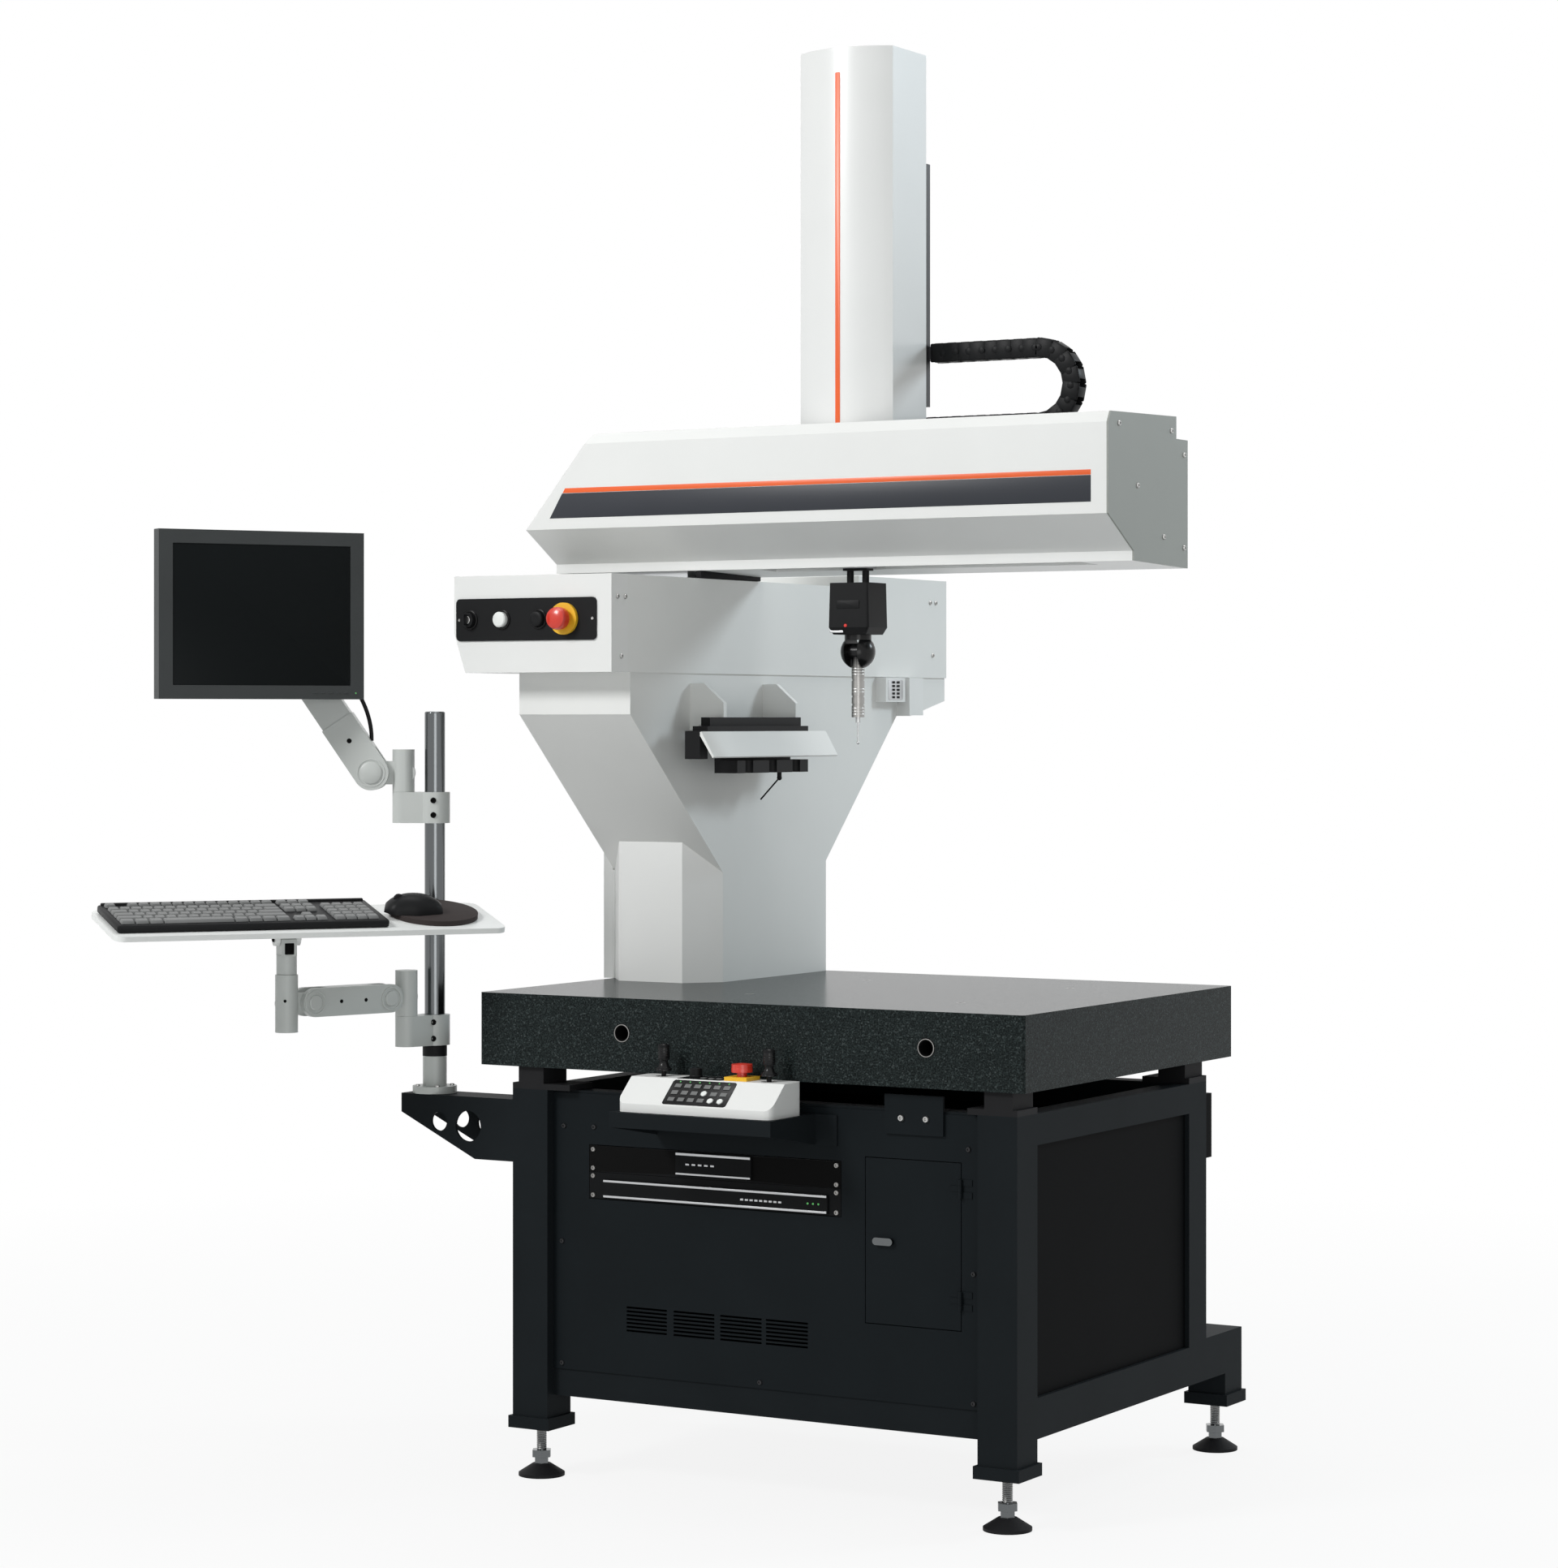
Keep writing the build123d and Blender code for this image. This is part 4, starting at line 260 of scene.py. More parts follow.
CHROME = finish("chrome_tube", (0.135, 0.143, 0.147), 0.18, metal=1.0, mottle=0.03, grain=300,
                stretch=(1, 1, 0.03), rough_spread=0.05)
CASTING = finish("cast_aluminium", (0.44, 0.45, 0.46), 0.42, metal=1.0, mottle=0.08, bump=0.12, grain=500)
CARRIAGE = finish("anodised_black", (0.02, 0.02, 0.022), 0.40, metal=0.4, mottle=0.08)
STONE = granite()
RED = finish("stop_red", (0.62, 0.035, 0.018), 0.30, mottle=0.05, coat=0.2)
YELLOW = finish("stop_yellow", (0.80, 0.46, 0.02), 0.42, mottle=0.05)
LAMP_WHITE = finish("button_white", (0.80, 0.82, 0.80), 0.26, mottle=0.02, coat=0.2)
CERAMIC = finish("stylus_ceramic", (0.55, 0.56, 0.56), 0.25, metal=0.6, mottle=0.04)
ARM = finish("arm_paint", (0.51, 0.53, 0.515), 0.36, mottle=0.02, bump=0.05, grain=1500)
CASE = finish("monitor_case", (0.040, 0.044, 0.045), 0.46, mottle=0.06, bump=0.08, grain=1600, shine=0.25)
TRAYWHITE = finish("tray_laminate", (0.80, 0.81, 0.80), 0.34, mottle=0.02, bump=0.03)
GLASS = finish("screen_glass", (0.006, 0.0075, 0.008), 0.34, mottle=0.04, rough_spread=0.03, shine=0.05)
ORANGE = finish("stripe_orange", (0.80, 0.115, 0.018), 0.34, mottle=0.03)
SLATE = finish("band_slate", (0.036, 0.039, 0.047), 0.36, mottle=0.04, shine=0.2)
KEYCAP = finish("keycap_grey", (0.160, 0.163, 0.163), 0.40, mottle=0.10, bump=0.05, shine=0.3)
MAT = finish("mat_fabric", (0.034, 0.027, 0.026), 0.78, mottle=0.12, bump=0.5, grain=900, shine=0.2)
DARK = finish("shadow_gap", (0.004, 0.004, 0.004), 0.7, mottle=0.1, shine=0.05)
LED_RED = finish("led_red", (0.75, 0.03, 0.02), 0.22, mottle=0.03, coat=0.4)
LED_GREEN = finish("led_green", (0.10, 0.50, 0.12), 0.25, mottle=0.03, coat=0.4)
SILVER = finish("trim_silver", (0.50, 0.51, 0.52), 0.34, metal=0.9, mottle=0.05, grain=500,
                stretch=(0.05, 1, 1))

LOOKS = {
    CHARCOAL: "stand_frame joystick_shelf pole_bracket",
    PANEL: "front_panel access_door door_hinges",
    # The cabinet sides take the sheet darkened as painted shade.
    SIDE_SHEET_SHADED: "cabinet_panels",
    RACK: "rack_units",
    RUBBER: "rubber_pads",
    STEEL: "y_rails x_rails",
    BRUSHED: "table_inserts probe_body",
    STONE: "granite_table",
    WHITE: "column y_housing stylus_rack_mount",
    COVER: "column_covers control_box joystick_box remote_unit beam_cover",
    # The beam's end plate: grey paint darkened as painted shade.
    END_PLATE_GREY_AND_SHADE: "beam_end_plate",
    TOWER: "tower_cover",
    CASTING: "beam z_ram",
    CARRIAGE: "x_carriage",
    BLACK: "left_gimbal left_stick right_stick feed_knob control_plate key_switch black_button "
           "stylus_rack probe_head cable_chain keyboard mouse monitor_lead",
    GLOSSY: "head_knuckle",
    LAMP_WHITE: "start_button",
    RED: "box_estop panel_estop",
    YELLOW: "estop_collars",
    CERAMIC: "stylus",
    CHROME: "pole foot_studs door_latch",
    CASE: "monitor",
    TRAYWHITE: "keyboard_tray",
    ARM: "pole_clamps monitor_swivel monitor_arm monitor_head monitor_tilter keyboard_swivel "
         "keyboard_arm keyboard_post tray_bracket",
}
for look, names in LOOKS.items():
    for node in names.split():
        NODES[node].data.materials.clear()
        NODES[node].data.materials.append(look)


# Mesh building

def piece(name, bm, look, body, smooth=35):
    """Turns a mesh under construction into a named piece that rides on a body."""
    bmesh.ops.recalc_face_normals(bm, faces=bm.faces)
    mesh = bpy.data.meshes.new(name)
    bm.to_mesh(mesh)
    bm.free()
    obj = bpy.data.objects.new(name, mesh)
    bpy.context.scene.collection.objects.link(obj)
    mesh.materials.append(look)
    mesh.polygons.foreach_set("use_smooth", [True] * len(mesh.polygons))
    mesh.set_sharp_from_angle(angle=radians(smooth))
    if body:
        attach(obj, body)
    return obj


@contextmanager
def making(name, look, body, slot):
    """Mesh under construction that becomes a named piece where its block ends."""
    bm = bmesh.new()
    yield bm
    piece(name, bm, look, body)


def place(bm, verts, m):
    """Moves new vertices from their own millimetres to the scene."""
    bmesh.ops.transform(bm, matrix=m, verts=verts)


def disc(r, n=40):
    """Outline of a circle."""
    return [(r * cos(2 * pi * i / n), r * sin(2 * pi * i / n)) for i in range(n)]


def lathe(bm, profile, m, n=28):
    """Turned shape: profile is (radius, height) pairs, closed where the radius is zero."""
    rings = []
    for r, h in profile:
        outline = disc(r, n) if r > 0 else [(0, 0)]
        rings.append([bm.verts.new((x, y, h)) for x, y in outline])
    for low, high in zip(rings, rings[1:]):
        for i in range(n):
            j = (i + 1) % n
            corners = [low[i % len(low)], low[j % len(low)], high[j % len(high)], high[i % len(high)]]
            loop = list(dict.fromkeys(corners))
            if len(loop) > 2:
                bm.faces.new(loop)
    closed = profile[0] == profile[-1]
    for end in (rings[0], rings[-1]):
        if len(end) > 1 and not closed:
            bm.faces.new(end)
    if closed:
        bmesh.ops.remove_doubles(bm, verts=rings[0] + rings[-1], dist=1e-6)
    place(bm, [v for verts in rings for v in verts if v.is_valid], m)


def bevelled(bm, verts, edges, offset, segments=2):
    """Rounds edges, and gives the vertices it left and those it made, each once."""
    cut = bmesh.ops.bevel(bm, geom=edges, offset=offset, segments=segments, affect="EDGES", profile=0.5)
    return list(dict.fromkeys([v for v in verts if v.is_valid] + list(cut["verts"])))


def block(bm, x, y, z, m, bevel=0.4, segments=2):
    """Box between (low, high) pairs with rounded edges."""
    made = bmesh.ops.create_cube(bm, size=1)["verts"]
    size = Matrix.Diagonal((abs(x[1] - x[0]), abs(y[1] - y[0]), abs(z[1] - z[0]), 1))
    middle = Matrix.Translation(((x[0] + x[1]) / 2, (y[0] + y[1]) / 2, (z[0] + z[1]) / 2))
    place(bm, made, middle @ size)
    edges = list(dict.fromkeys(e for v in made for e in v.link_edges))
    place(bm, bevelled(bm, made, edges, bevel, segments), m)


def plate(bm, outline, thick, m, bevel=0.15):
    """Flat outline with a thickness along Z and a broken front edge."""
    base = [bm.verts.new((x, y, 0)) for x, y in outline]
    bottom = bm.faces.new(base)
    top = bmesh.ops.extrude_face_region(bm, geom=[bottom])
    upper = [g for g in top["geom"] if isinstance(g, bmesh.types.BMVert)]
    bmesh.ops.translate(bm, verts=upper, vec=(0, 0, thick))
    rim = [g for g in top["geom"] if isinstance(g, bmesh.types.BMEdge)]
    place(bm, bevelled(bm, base + upper, rim, bevel), m)


def rounded(x, y, r, n=6):
    """Outline of a rectangle between (low, high) pairs with round corners."""
    points = []
    for cx, cy, start in ((x[1] - r, y[1] - r, 0), (x[0] + r, y[1] - r, 90), (x[0] + r, y[0] + r, 180),
                          (x[1] - r, y[0] + r, 270)):
        for i in range(n + 1):
            a = radians(start + 90 * i / n)
            points.append((cx + r * cos(a), cy + r * sin(a)))
    return points


def screw(bm, m, r=4.0, high=2.6):
    """Round head with a socket."""
    lathe(bm, ((r, 0), (r, 0.5 * high), (0.82 * r, high), (0.5 * r, high), (0.46 * r, 0.3 * high),
               (0, 0.3 * high)), m, n=18)


def ring(bm, m, inner, outer, high):
    """Bezel ring with a rounded rim."""
    lathe(bm, ((inner, 0), (outer, 0), (outer, 0.6 * high), (outer - 0.3 * high, high),
               (inner + 0.2 * high, high), (inner, 0.8 * high), (inner, 0)), m, n=36)


def hole(bm, m, r):
    """Thin disc that marks the mouth of a small hole."""
    lathe(bm, ((r, 0), (r, 0.3), (0, 0.35)), m, n=20)


# Camera, as fitted to the photograph, in its pixels

PHOTO_HIGH = 1932
FOCAL = 4804.06
HORIZON = 886.23
SENSOR = 36

camera = bpy.data.objects.new("camera", bpy.data.cameras.new("camera"))
bpy.context.scene.collection.objects.link(camera)
bpy.context.scene.camera = camera
camera.location = at(3271.24, -5807.03, 1273.68)
camera.rotation_euler = (radians(90), 0, radians(30.59))
camera.data.sensor_width = SENSOR
camera.data.lens = FOCAL / PHOTO_HIGH * SENSOR
camera.data.shift_y = -(PHOTO_HIGH / 2 - HORIZON) / PHOTO_HIGH
camera.data.clip_end = 60


# World: dim cool light on the part, and plain white where it is seen

def direct_rays(tree):
    """One where a ray comes straight from the camera, a mirror or a pane, else nought."""
    rays = tree.nodes.new("ShaderNodeLightPath")
    total = rays.outputs["Is Camera Ray"]
    for kind in ("Is Glossy Ray", "Is Transmission Ray"):
        add = tree.nodes.new("ShaderNodeMath")
        add.operation = "MAXIMUM"
        tree.links.new(total, add.inputs[0])
        tree.links.new(rays.outputs[kind], add.inputs[1])
        total = add.outputs["Value"]
    return total


world = bpy.data.worlds.new("studio")
bpy.context.scene.world = world
world.use_nodes = True
sky = world.node_tree
sky.nodes["Background"].inputs["Color"].default_value = (0.94, 1.0, 0.97, 1)
sky.nodes["Background"].inputs["Strength"].default_value = 0.26
seen = sky.nodes.new("ShaderNodeBackground")
seen.inputs["Color"].default_value = (1, 1, 1, 1)
seen.inputs["Strength"].default_value = 1.0
choose = sky.nodes.new("ShaderNodeMixShader")
sky.links.new(direct_rays(sky), choose.inputs["Fac"])
sky.links.new(sky.nodes["Background"].outputs["Background"], choose.inputs[1])
sky.links.new(seen.outputs["Background"], choose.inputs[2])
sky.links.new(choose.outputs["Shader"], sky.nodes["World Output"].inputs["Surface"])


# Lamps, placed in the scene's metres

def lamp(name, place_at, target, size, watts, color=(1, 1, 1)):
    """Square studio lamp aimed at a target."""
    light = bpy.data.lights.new(name, "AREA")
    light.energy = watts
    light.size = size
    light.color = color
    obj = bpy.data.objects.new(name, light)
    bpy.context.scene.collection.objects.link(obj)
    obj.location = place_at
    obj.rotation_euler = (Vector(target) - Vector(place_at)).to_track_quat("-Z", "Y").to_euler()


lamp("key", (-1.7, -4.1, 3.7), (0, 0, 1.1), 1.1, 146)
lamp("front", (3.2, -4.4, 0.95), (-0.2, 0, 0.9), 2.4, 48)
lamp("side", (3.0, 2.8, 3.2), (-0.1, 0, 1.1), 0.9, 68, (0.82, 0.93, 1.0))
lamp("top", (0.2, 0.4, 5.2), (0, 0, 1.0), 2.6, 85)

# Floor: pale and matt, fading to plain white away from the part

floor_bm = bmesh.new()
bmesh.ops.create_circle(floor_bm, cap_ends=True, segments=96, radius=14)
floor_mesh = bpy.data.meshes.new("floor")
floor_bm.to_mesh(floor_mesh)
floor_bm.free()
floor = bpy.data.objects.new("floor", floor_mesh)
bpy.context.scene.collection.objects.link(floor)
floor.location.z = -0.0005
pale = finish("pale_floor", (0.64, 0.64, 0.64), 0.7, mottle=0.01)
ground = pale.node_tree
glow = ground.nodes.new("ShaderNodeEmission")
glow.inputs["Strength"].default_value = 1.0
floor_coords = ground.nodes.new("ShaderNodeTexCoord")
distance = ground.nodes.new("ShaderNodeVectorMath")
distance.operation = "LENGTH"
ground.links.new(floor_coords.outputs["Object"], distance.inputs[0])
fade = ground.nodes.new("ShaderNodeMapRange")
fade.inputs["From Min"].default_value = 0.8
fade.inputs["From Max"].default_value = 4.0
fade.inputs["To Min"].default_value = 0.88
fade.inputs["To Max"].default_value = 1.0
ground.links.new(distance.outputs["Value"], fade.inputs["Value"])
share = ground.nodes.new("ShaderNodeMath")
share.operation = "MULTIPLY"
ground.links.new(fade.outputs["Result"], share.inputs[1])
ground.links.new(direct_rays(ground), share.inputs[0])
faded = ground.nodes.new("ShaderNodeMixShader")
ground.links.new(share.outputs["Value"], faded.inputs["Fac"])
ground.links.new(ground.nodes["Principled BSDF"].outputs["BSDF"], faded.inputs[1])
ground.links.new(glow.outputs["Emission"], faded.inputs[2])
ground.links.new(faded.outputs["Shader"], ground.nodes["Material Output"].inputs["Surface"])
floor_mesh.materials.append(pale)

# Beam: printed band and stripe, end plate screws, and a black strip over the housing's right wall that
# stands for the shade in the gap under the beam

PRINT_THICK = 0.5
PRINT_END = 510
STRIPE_LOW = 1667.6
STRIPE_HIGH = 1676
beam_front = face(0, -150, 0)
with making("beam_band", SLATE, "beam", "black_plastic") as bm:
    plate(bm, ((-538, 1624), (PRINT_END, 1624), (PRINT_END, 1667), (-512, 1667)), PRINT_THICK, beam_front)
with making("beam_stripe", ORANGE, "beam", "red_stop") as bm:
    plate(bm, ((-511, STRIPE_LOW), (PRINT_END, STRIPE_LOW), (PRINT_END, STRIPE_HIGH), (-506, STRIPE_HIGH)),
          PRINT_THICK, beam_front)
with making("beam_screws", STEEL, "beam", "zinc_steel") as bm:
    for y, z in ((-40, 1655), (60, 1575), (140, 1560), (140, 1715), (90, 1752), (-110, 1752)):
        screw(bm, face(541, y, z, out=RIGHT), 4.5)
# Black strip filling the gap between the beam and the housing's wall, as painted shade.
with making("beam_gap_shade_strip", RUBBER, "beam", "pad_black") as bm:
    block(bm, (-300, -289), (-50, 152), (1518.8, 1531), TABLE_AXES, bevel=1)

# Tower: raised orange line down the crown, and the cover's screws on the back

with making("tower_line", ORANGE, "carriage", "red_stop") as bm:
    plate(bm, rounded((-4.5, 4.5), (1739, 2368), 2), 0.7, face(1, -80, 0))
with making("tower_screws", STEEL, "carriage", "zinc_steel") as bm:
    for x in (-70, 72):
        for z in (1770, 2050, 2330):
            screw(bm, face(x, 68, z, out=BACK), 4)

# Cable chain: three lengths of links, the lower run, the bend and the upper run

CHAIN_Y = 89
CHAIN_LOW = 1775
CHAIN_HIGH = 1901
CHAIN_ANCHOR = 60
CHAIN_TURN = 299
CHAIN_TOW = 97
BEND_R = (CHAIN_HIGH - CHAIN_LOW) / 2
BEND_Z = (CHAIN_LOW + CHAIN_HIGH) / 2


def link(bm, m, wide):
    """One chain link: two side plates with pin bosses, and two cross bars. X runs along the chain."""
    for side in (-1, 1):
        y = (side * (wide / 2 - 4), side * wide / 2)
        block(bm, (-15, 15), (min(y), max(y)), (-16, 16), m, bevel=2.5)
        boss = moved(m, (9, side * wide / 2, 0), -90 * side)
        lathe(bm, ((6, -1), (6, 0.7), (5, 1.2), (0, 1.2)), boss, n=16)
    for high in (-1, 1):
        z = (high * 12.5, high * 16.5)
        block(bm, (-8, 9), (-wide / 2 + 2, wide / 2 - 2), (min(z), max(z)), m, bevel=1)


def chain(name, count, where):
    """Length of links along a path, which where gives as a frame for each share of its length."""
    bm = bmesh.new()
    for i in range(count):
        link(bm, where((i + 0.5) / count), 30 if i % 2 else 28)
    obj = piece(name, bm, BLACK, None)
    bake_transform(obj)
    return obj


def run(x0, x1, z):
    """Straight path along X."""
    def where(s):
        return upright(x0 + s * (x1 - x0), CHAIN_Y, z)
    return where


def bend(s):
    """Half circle from the lower run to the upper one."""
    a = -pi / 2 + s * pi
    x = CHAIN_TURN + BEND_R * cos(a)
    z = BEND_Z + BEND_R * sin(a)
    return face(x, CHAIN_Y, z, out=(-cos(a), 0, -sin(a)), up=BACK)


lower = chain("chain_lower", 10, run(CHAIN_ANCHOR, CHAIN_TURN, CHAIN_LOW))
middle = chain("chain_bend", 8, bend)
upper = chain("chain_upper", 8, run(CHAIN_TOW, CHAIN_TURN, CHAIN_HIGH))
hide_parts("cable_chain")
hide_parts("cable_chain")
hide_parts("cable_chain")

# Housing: cover screws

COLUMN_RIGHT = -290
with making("housing_screws", STEEL, "base", "zinc_steel") as bm:
    for y, z in ((-322, 1480), (-298, 1480), (-310, 1380), (780, 1497), (802, 1497), (790, 1396)):
        screw(bm, face(COLUMN_RIGHT + 4, y, z, out=RIGHT), 4.5)

# Control plate: bezels, screws, key barrel, button lenses and the dome of the stop

KEY_X = -573
START_X = -506
BLACK_X = -431
STOP_X = -378


def on_plate(x):
    """Front of the control plate, at its middle height."""
    return face(x, -343, 1443)


with making("button_bezels", GLOSSY, "base", "black_plastic") as bm:
    for x in (KEY_X, START_X, BLACK_X):
        ring(bm, on_plate(x), 13.6, 17, 3.5)
with making("plate_screws", STEEL, "base", "zinc_steel") as bm:
    for x in (-594, -322):
        screw(bm, on_plate(x), 2.6, 1.4)
with making("key_barrel", STEEL, "key_switch", "zinc_steel") as bm:
    lathe(bm, ((0, 10.6), (6.5, 10.6), (7.2, 10), (7.2, 9.6)), on_plate(KEY_X), n=28)
with making("start_lens", LAMP_WHITE, "start_button", "white_button") as bm:
    lathe(bm, ((12.4, 9), (12.4, 9.8), (11, 11.2), (6, 12), (0, 12.2)), on_plate(START_X), n=32)
with making("black_lens", BLACK, "black_button", "black_plastic") as bm:
    lathe(bm, ((12.4, 9), (12.4, 9.8), (11, 10.6), (6, 10.4), (0, 10.2)), on_plate(BLACK_X), n=32)
with making("panel_stop_dome", RED, "panel_estop", "red_stop") as bm:
    lathe(bm, ((18.6, 26), (18.6, 27), (17, 30.5), (12, 33), (6, 34), (0, 34.3)), on_plate(STOP_X), n=40)

# Remote unit: plate and keys

REMOTE_FACE = COLUMN_RIGHT + 22
REMOTE_Y = 610
REMOTE_Z = 1329
with making("remote_pad", SILVER, "base", "zinc_steel") as bm:
    plate(bm, rounded((-28, 28), (-19, 19), 4), 0.8, face(REMOTE_FACE, REMOTE_Y, REMOTE_Z, out=RIGHT))
with making("remote_keys", BLACK, "base", "black_plastic") as bm:
    for column in (-9, 9):
        for row in range(5):
            m = face(REMOTE_FACE + 0.8, REMOTE_Y + column, REMOTE_Z - 14 + 7 * row, out=RIGHT)
            block(bm, (-4.5, 4.5), (-2.2, 2.2), (0, 1.2), m, bevel=0.5)

# Column: trim strip along the front cover's left edge

with making("cover_trim", COVER, "base", "white_paint") as bm:
    block(bm, (-516, -512), (18, 24), (813, 1006), TABLE_AXES, bevel=0.6)

# Probe head: status lamp, front plate, bright strip, bands round the probe and the stylus tip

PROBE_X = 1
PROBE_Y = -10
HEAD_FRONT = -46
with making("head_lamp", LED_RED, "ram", "red_stop") as bm:
    lathe(bm, ((3, 0), (3, 1), (2.2, 2), (0, 2.4)), face(PROBE_X - 4, HEAD_FRONT, 1433), n=18)
with making("head_plate", BLACK, "ram", "black_plastic") as bm:
    plate(bm, rounded((-22, 22), (1462, 1476), 2), 0.6, face(PROBE_X, -45.4, 0))
with making("head_strip", SILVER, "ram", "zinc_steel") as bm:
    plate(bm, rounded((-35, -9), (1421, 1424.5), 1), 0.5, face(PROBE_X, HEAD_FRONT, 0))
with making("probe_bands", STEEL, "probe", "probe_steel") as bm:
    for z in (1281, 1286, 1291, 1319, 1324, 1349, 1354, 1359):
        lathe(bm, ((10.9, 0), (11.25, 0.6), (11.25, 1.6), (10.9, 2.2)), upright(PROBE_X, PROBE_Y, z), n=36)
with making("stylus_tip", CERAMIC, "probe", "stylus_white") as bm:
    lathe(bm, ((0, -2.9), (1.6, -2.4), (2.6, -1), (2.75, 0), (2.6, 1), (1.6, 2.4), (0, 2.9)),
          upright(PROBE_X, PROBE_Y, 1233.5), n=20)

# Stand: panel screws, stop plate screws, rack furniture and the cabinet's bottom sheet

PANEL_FRONT = -368
RACK_FRONT = PANEL_FRONT - 4
with making("panel_screws", CARRIAGE, "base", "zinc_steel") as bm:
    for x, z in ((-362, 593), (-302, 594), (403, 596), (412, 196), (-366, 196), (-366, 400), (412, 400),
                 (20, 196)):
        screw(bm, face(x, PANEL_FRONT, z), 4.2)
with making("stop_screws", STEEL, "base", "zinc_steel") as bm:
    for x in (285, 330):
        screw(bm, face(x, PANEL_FRONT - 5, 640), 5.5, 4)
with making("rack_screws", BRUSHED, "base", "zinc_steel") as bm:
    for x in (-303.5, 163.5):
        for z in (481, 513, 526, 557):
            screw(bm, face(x, PANEL_FRONT, z), 4.4, 2.4)
rack_face = face(0, RACK_FRONT, 0)
with making("rack_strips", SILVER, "base", "zinc_steel") as bm:
    for x, z in (((-281, 147), (478.5, 482)), ((-281, 147), (504, 507.5)), ((-139, 4), (525, 528)),
                 ((-139, 4), (557, 561))):
        block(bm, x, z, (0, 1.2), rack_face, bevel=0.4)
with making("rack_keys", SILVER, "base", "zinc_steel") as bm:
    for i in range(9):
        block(bm, (-15 + 9 * i, -9 + 9 * i), (490, 493), (0, 1), rack_face, bevel=0.3)
    for i in range(5):
        block(bm, (-120 + 12 * i, -113 + 12 * i), (541, 544), (0, 1), rack_face, bevel=0.3)
with making("rack_lamps", LED_GREEN, "base", "white_button") as bm:
    for x in (112, 122, 132):
        lathe(bm, ((1.8, 0), (1.8, 0.7), (1.2, 1.3), (0, 1.5)), face(x, RACK_FRONT, 493), n=14)
with making("cabinet_floor", PANEL, "base", "black_panel") as bm:
    block(bm, (-413, 457), (-345, 284), (142, 145), TABLE_AXES, bevel=0.5)

# Feet: stud threads and the washers of the lock nuts

with making("stud_threads", BRUSHED, "base", "zinc_steel") as bm:
    for foot_x in (-419, 463):
        for foot_y in (-351, 439):
            for i in range(12):
                lathe(bm, ((8.0, 0), (8.6, 0.9), (8.0, 1.8)), upright(foot_x, foot_y, 44 + 3 * i), n=24)
            lathe(bm, ((8, 0), (17, 0), (17, 2), (8, 2)), upright(foot_x, foot_y, 81), n=32)

# Table: rims of the lifting bushes in its front

with making("bush_rims", BRUSHED, "base", "zinc_steel") as bm:
    for x in (-230, 341):
        ring(bm, face(x, -395, 755), 13.4, 14.8, 0.8)

# Joystick box: films, keys and lamps, stick grips, cap of the stop and cap of the feed knob

BOX_TOP = 692
STICK_Y = -428
FILM = 0.6
PAD_LEFT = -46
PAD_PITCH = 18.4
pad = face(-28, -477.5, 672, out=(0, -40, 45), up=(0, 45, 40))
flat = upright(0, 0, BOX_TOP)
with making("key_pad", GLOSSY, "base", "black_plastic") as bm:
    plate(bm, rounded((-86, -3), (-455, -404), 4), FILM, flat)
    plate(bm, rounded((-60, 60), (-27, 27), 5), FILM, pad)
with making("pad_keys", KEYCAP, "base", "black_plastic") as bm:
    for row in range(3):
        for column in range(6):
            m = moved(pad, (PAD_LEFT + PAD_PITCH * column, -16 + 15 * row, FILM))
            block(bm, (-6, 6), (-4, 4), (0, 1.1), m, bevel=0.5)
    for column in range(3):
        m = moved(flat, (-44 + 15 * column, -438, FILM))
        block(bm, (-5, 5), (-4, 4), (0, 1.1), m, bevel=0.5)
with making("pad_lamps", LED_GREEN, "base", "white_button") as bm:
    for column in range(6):
        m = moved(pad, (PAD_LEFT + PAD_PITCH * column, 23, FILM))
        lathe(bm, ((1.3, 0), (1.3, 0.4), (0, 0.8)), m, n=12)
with making("pad_round_keys", LAMP_WHITE, "base", "white_button") as bm:
    for x, y in ((9.2, -1), (27.6, -16), (46, -16)):
        lathe(bm, ((5.2, 0), (5.2, 1.6), (4.6, 2.1), (0, 2.3)), moved(pad, (x, y, FILM)), n=24)

# Skirt, neck and knob of a stick
GRIP = ((0, 9), (13.4, 9), (13.4, 11), (12, 13.4), (9, 16.6), (7.2, 21), (6.6, 25), (8.6, 27.5),
        (9.6, 30), (9.9, 38), (9.6, 46), (8.4, 50), (5.5, 52.5), (0, 53.2))
for name, stick_x in (("left_stick", -127), ("right_stick", 73)):
    with making(name + "_grip", GLOSSY, name, "black_plastic") as bm:
        lathe(bm, GRIP, upright(stick_x, STICK_Y, BOX_TOP), n=36)
        for i in range(3):
            rib = upright(stick_x, STICK_Y, BOX_TOP + 33 + 4 * i)
            lathe(bm, ((9.7, 0), (10.3, 0.8), (9.7, 1.6)), rib, n=36)
with making("box_stop_cap", RED, "box_estop", "red_stop") as bm:
    lathe(bm, ((0, 13), (16, 13), (17.2, 14), (17.4, 19), (16, 23), (12, 26), (6, 27.3), (0, 27.6)),
          upright(22, STICK_Y, BOX_TOP), n=40)
with making("knob_cap", BLACK, "feed_knob", "black_plastic") as bm:
    knob = upright(-65, STICK_Y, BOX_TOP)
    lathe(bm, ((0, 1), (10.6, 1), (10.8, 3), (9.6, 5), (9.2, 14.6), (8.4, 15.6), (0, 15.8)), knob, n=36)
    block(bm, (-0.8, 0.8), (2, 9), (15.6, 16.3), knob, bevel=0.2)

# Monitor: glass, bezel keys and lamp, rear vents drawn as slats of painted shade, and plate screws

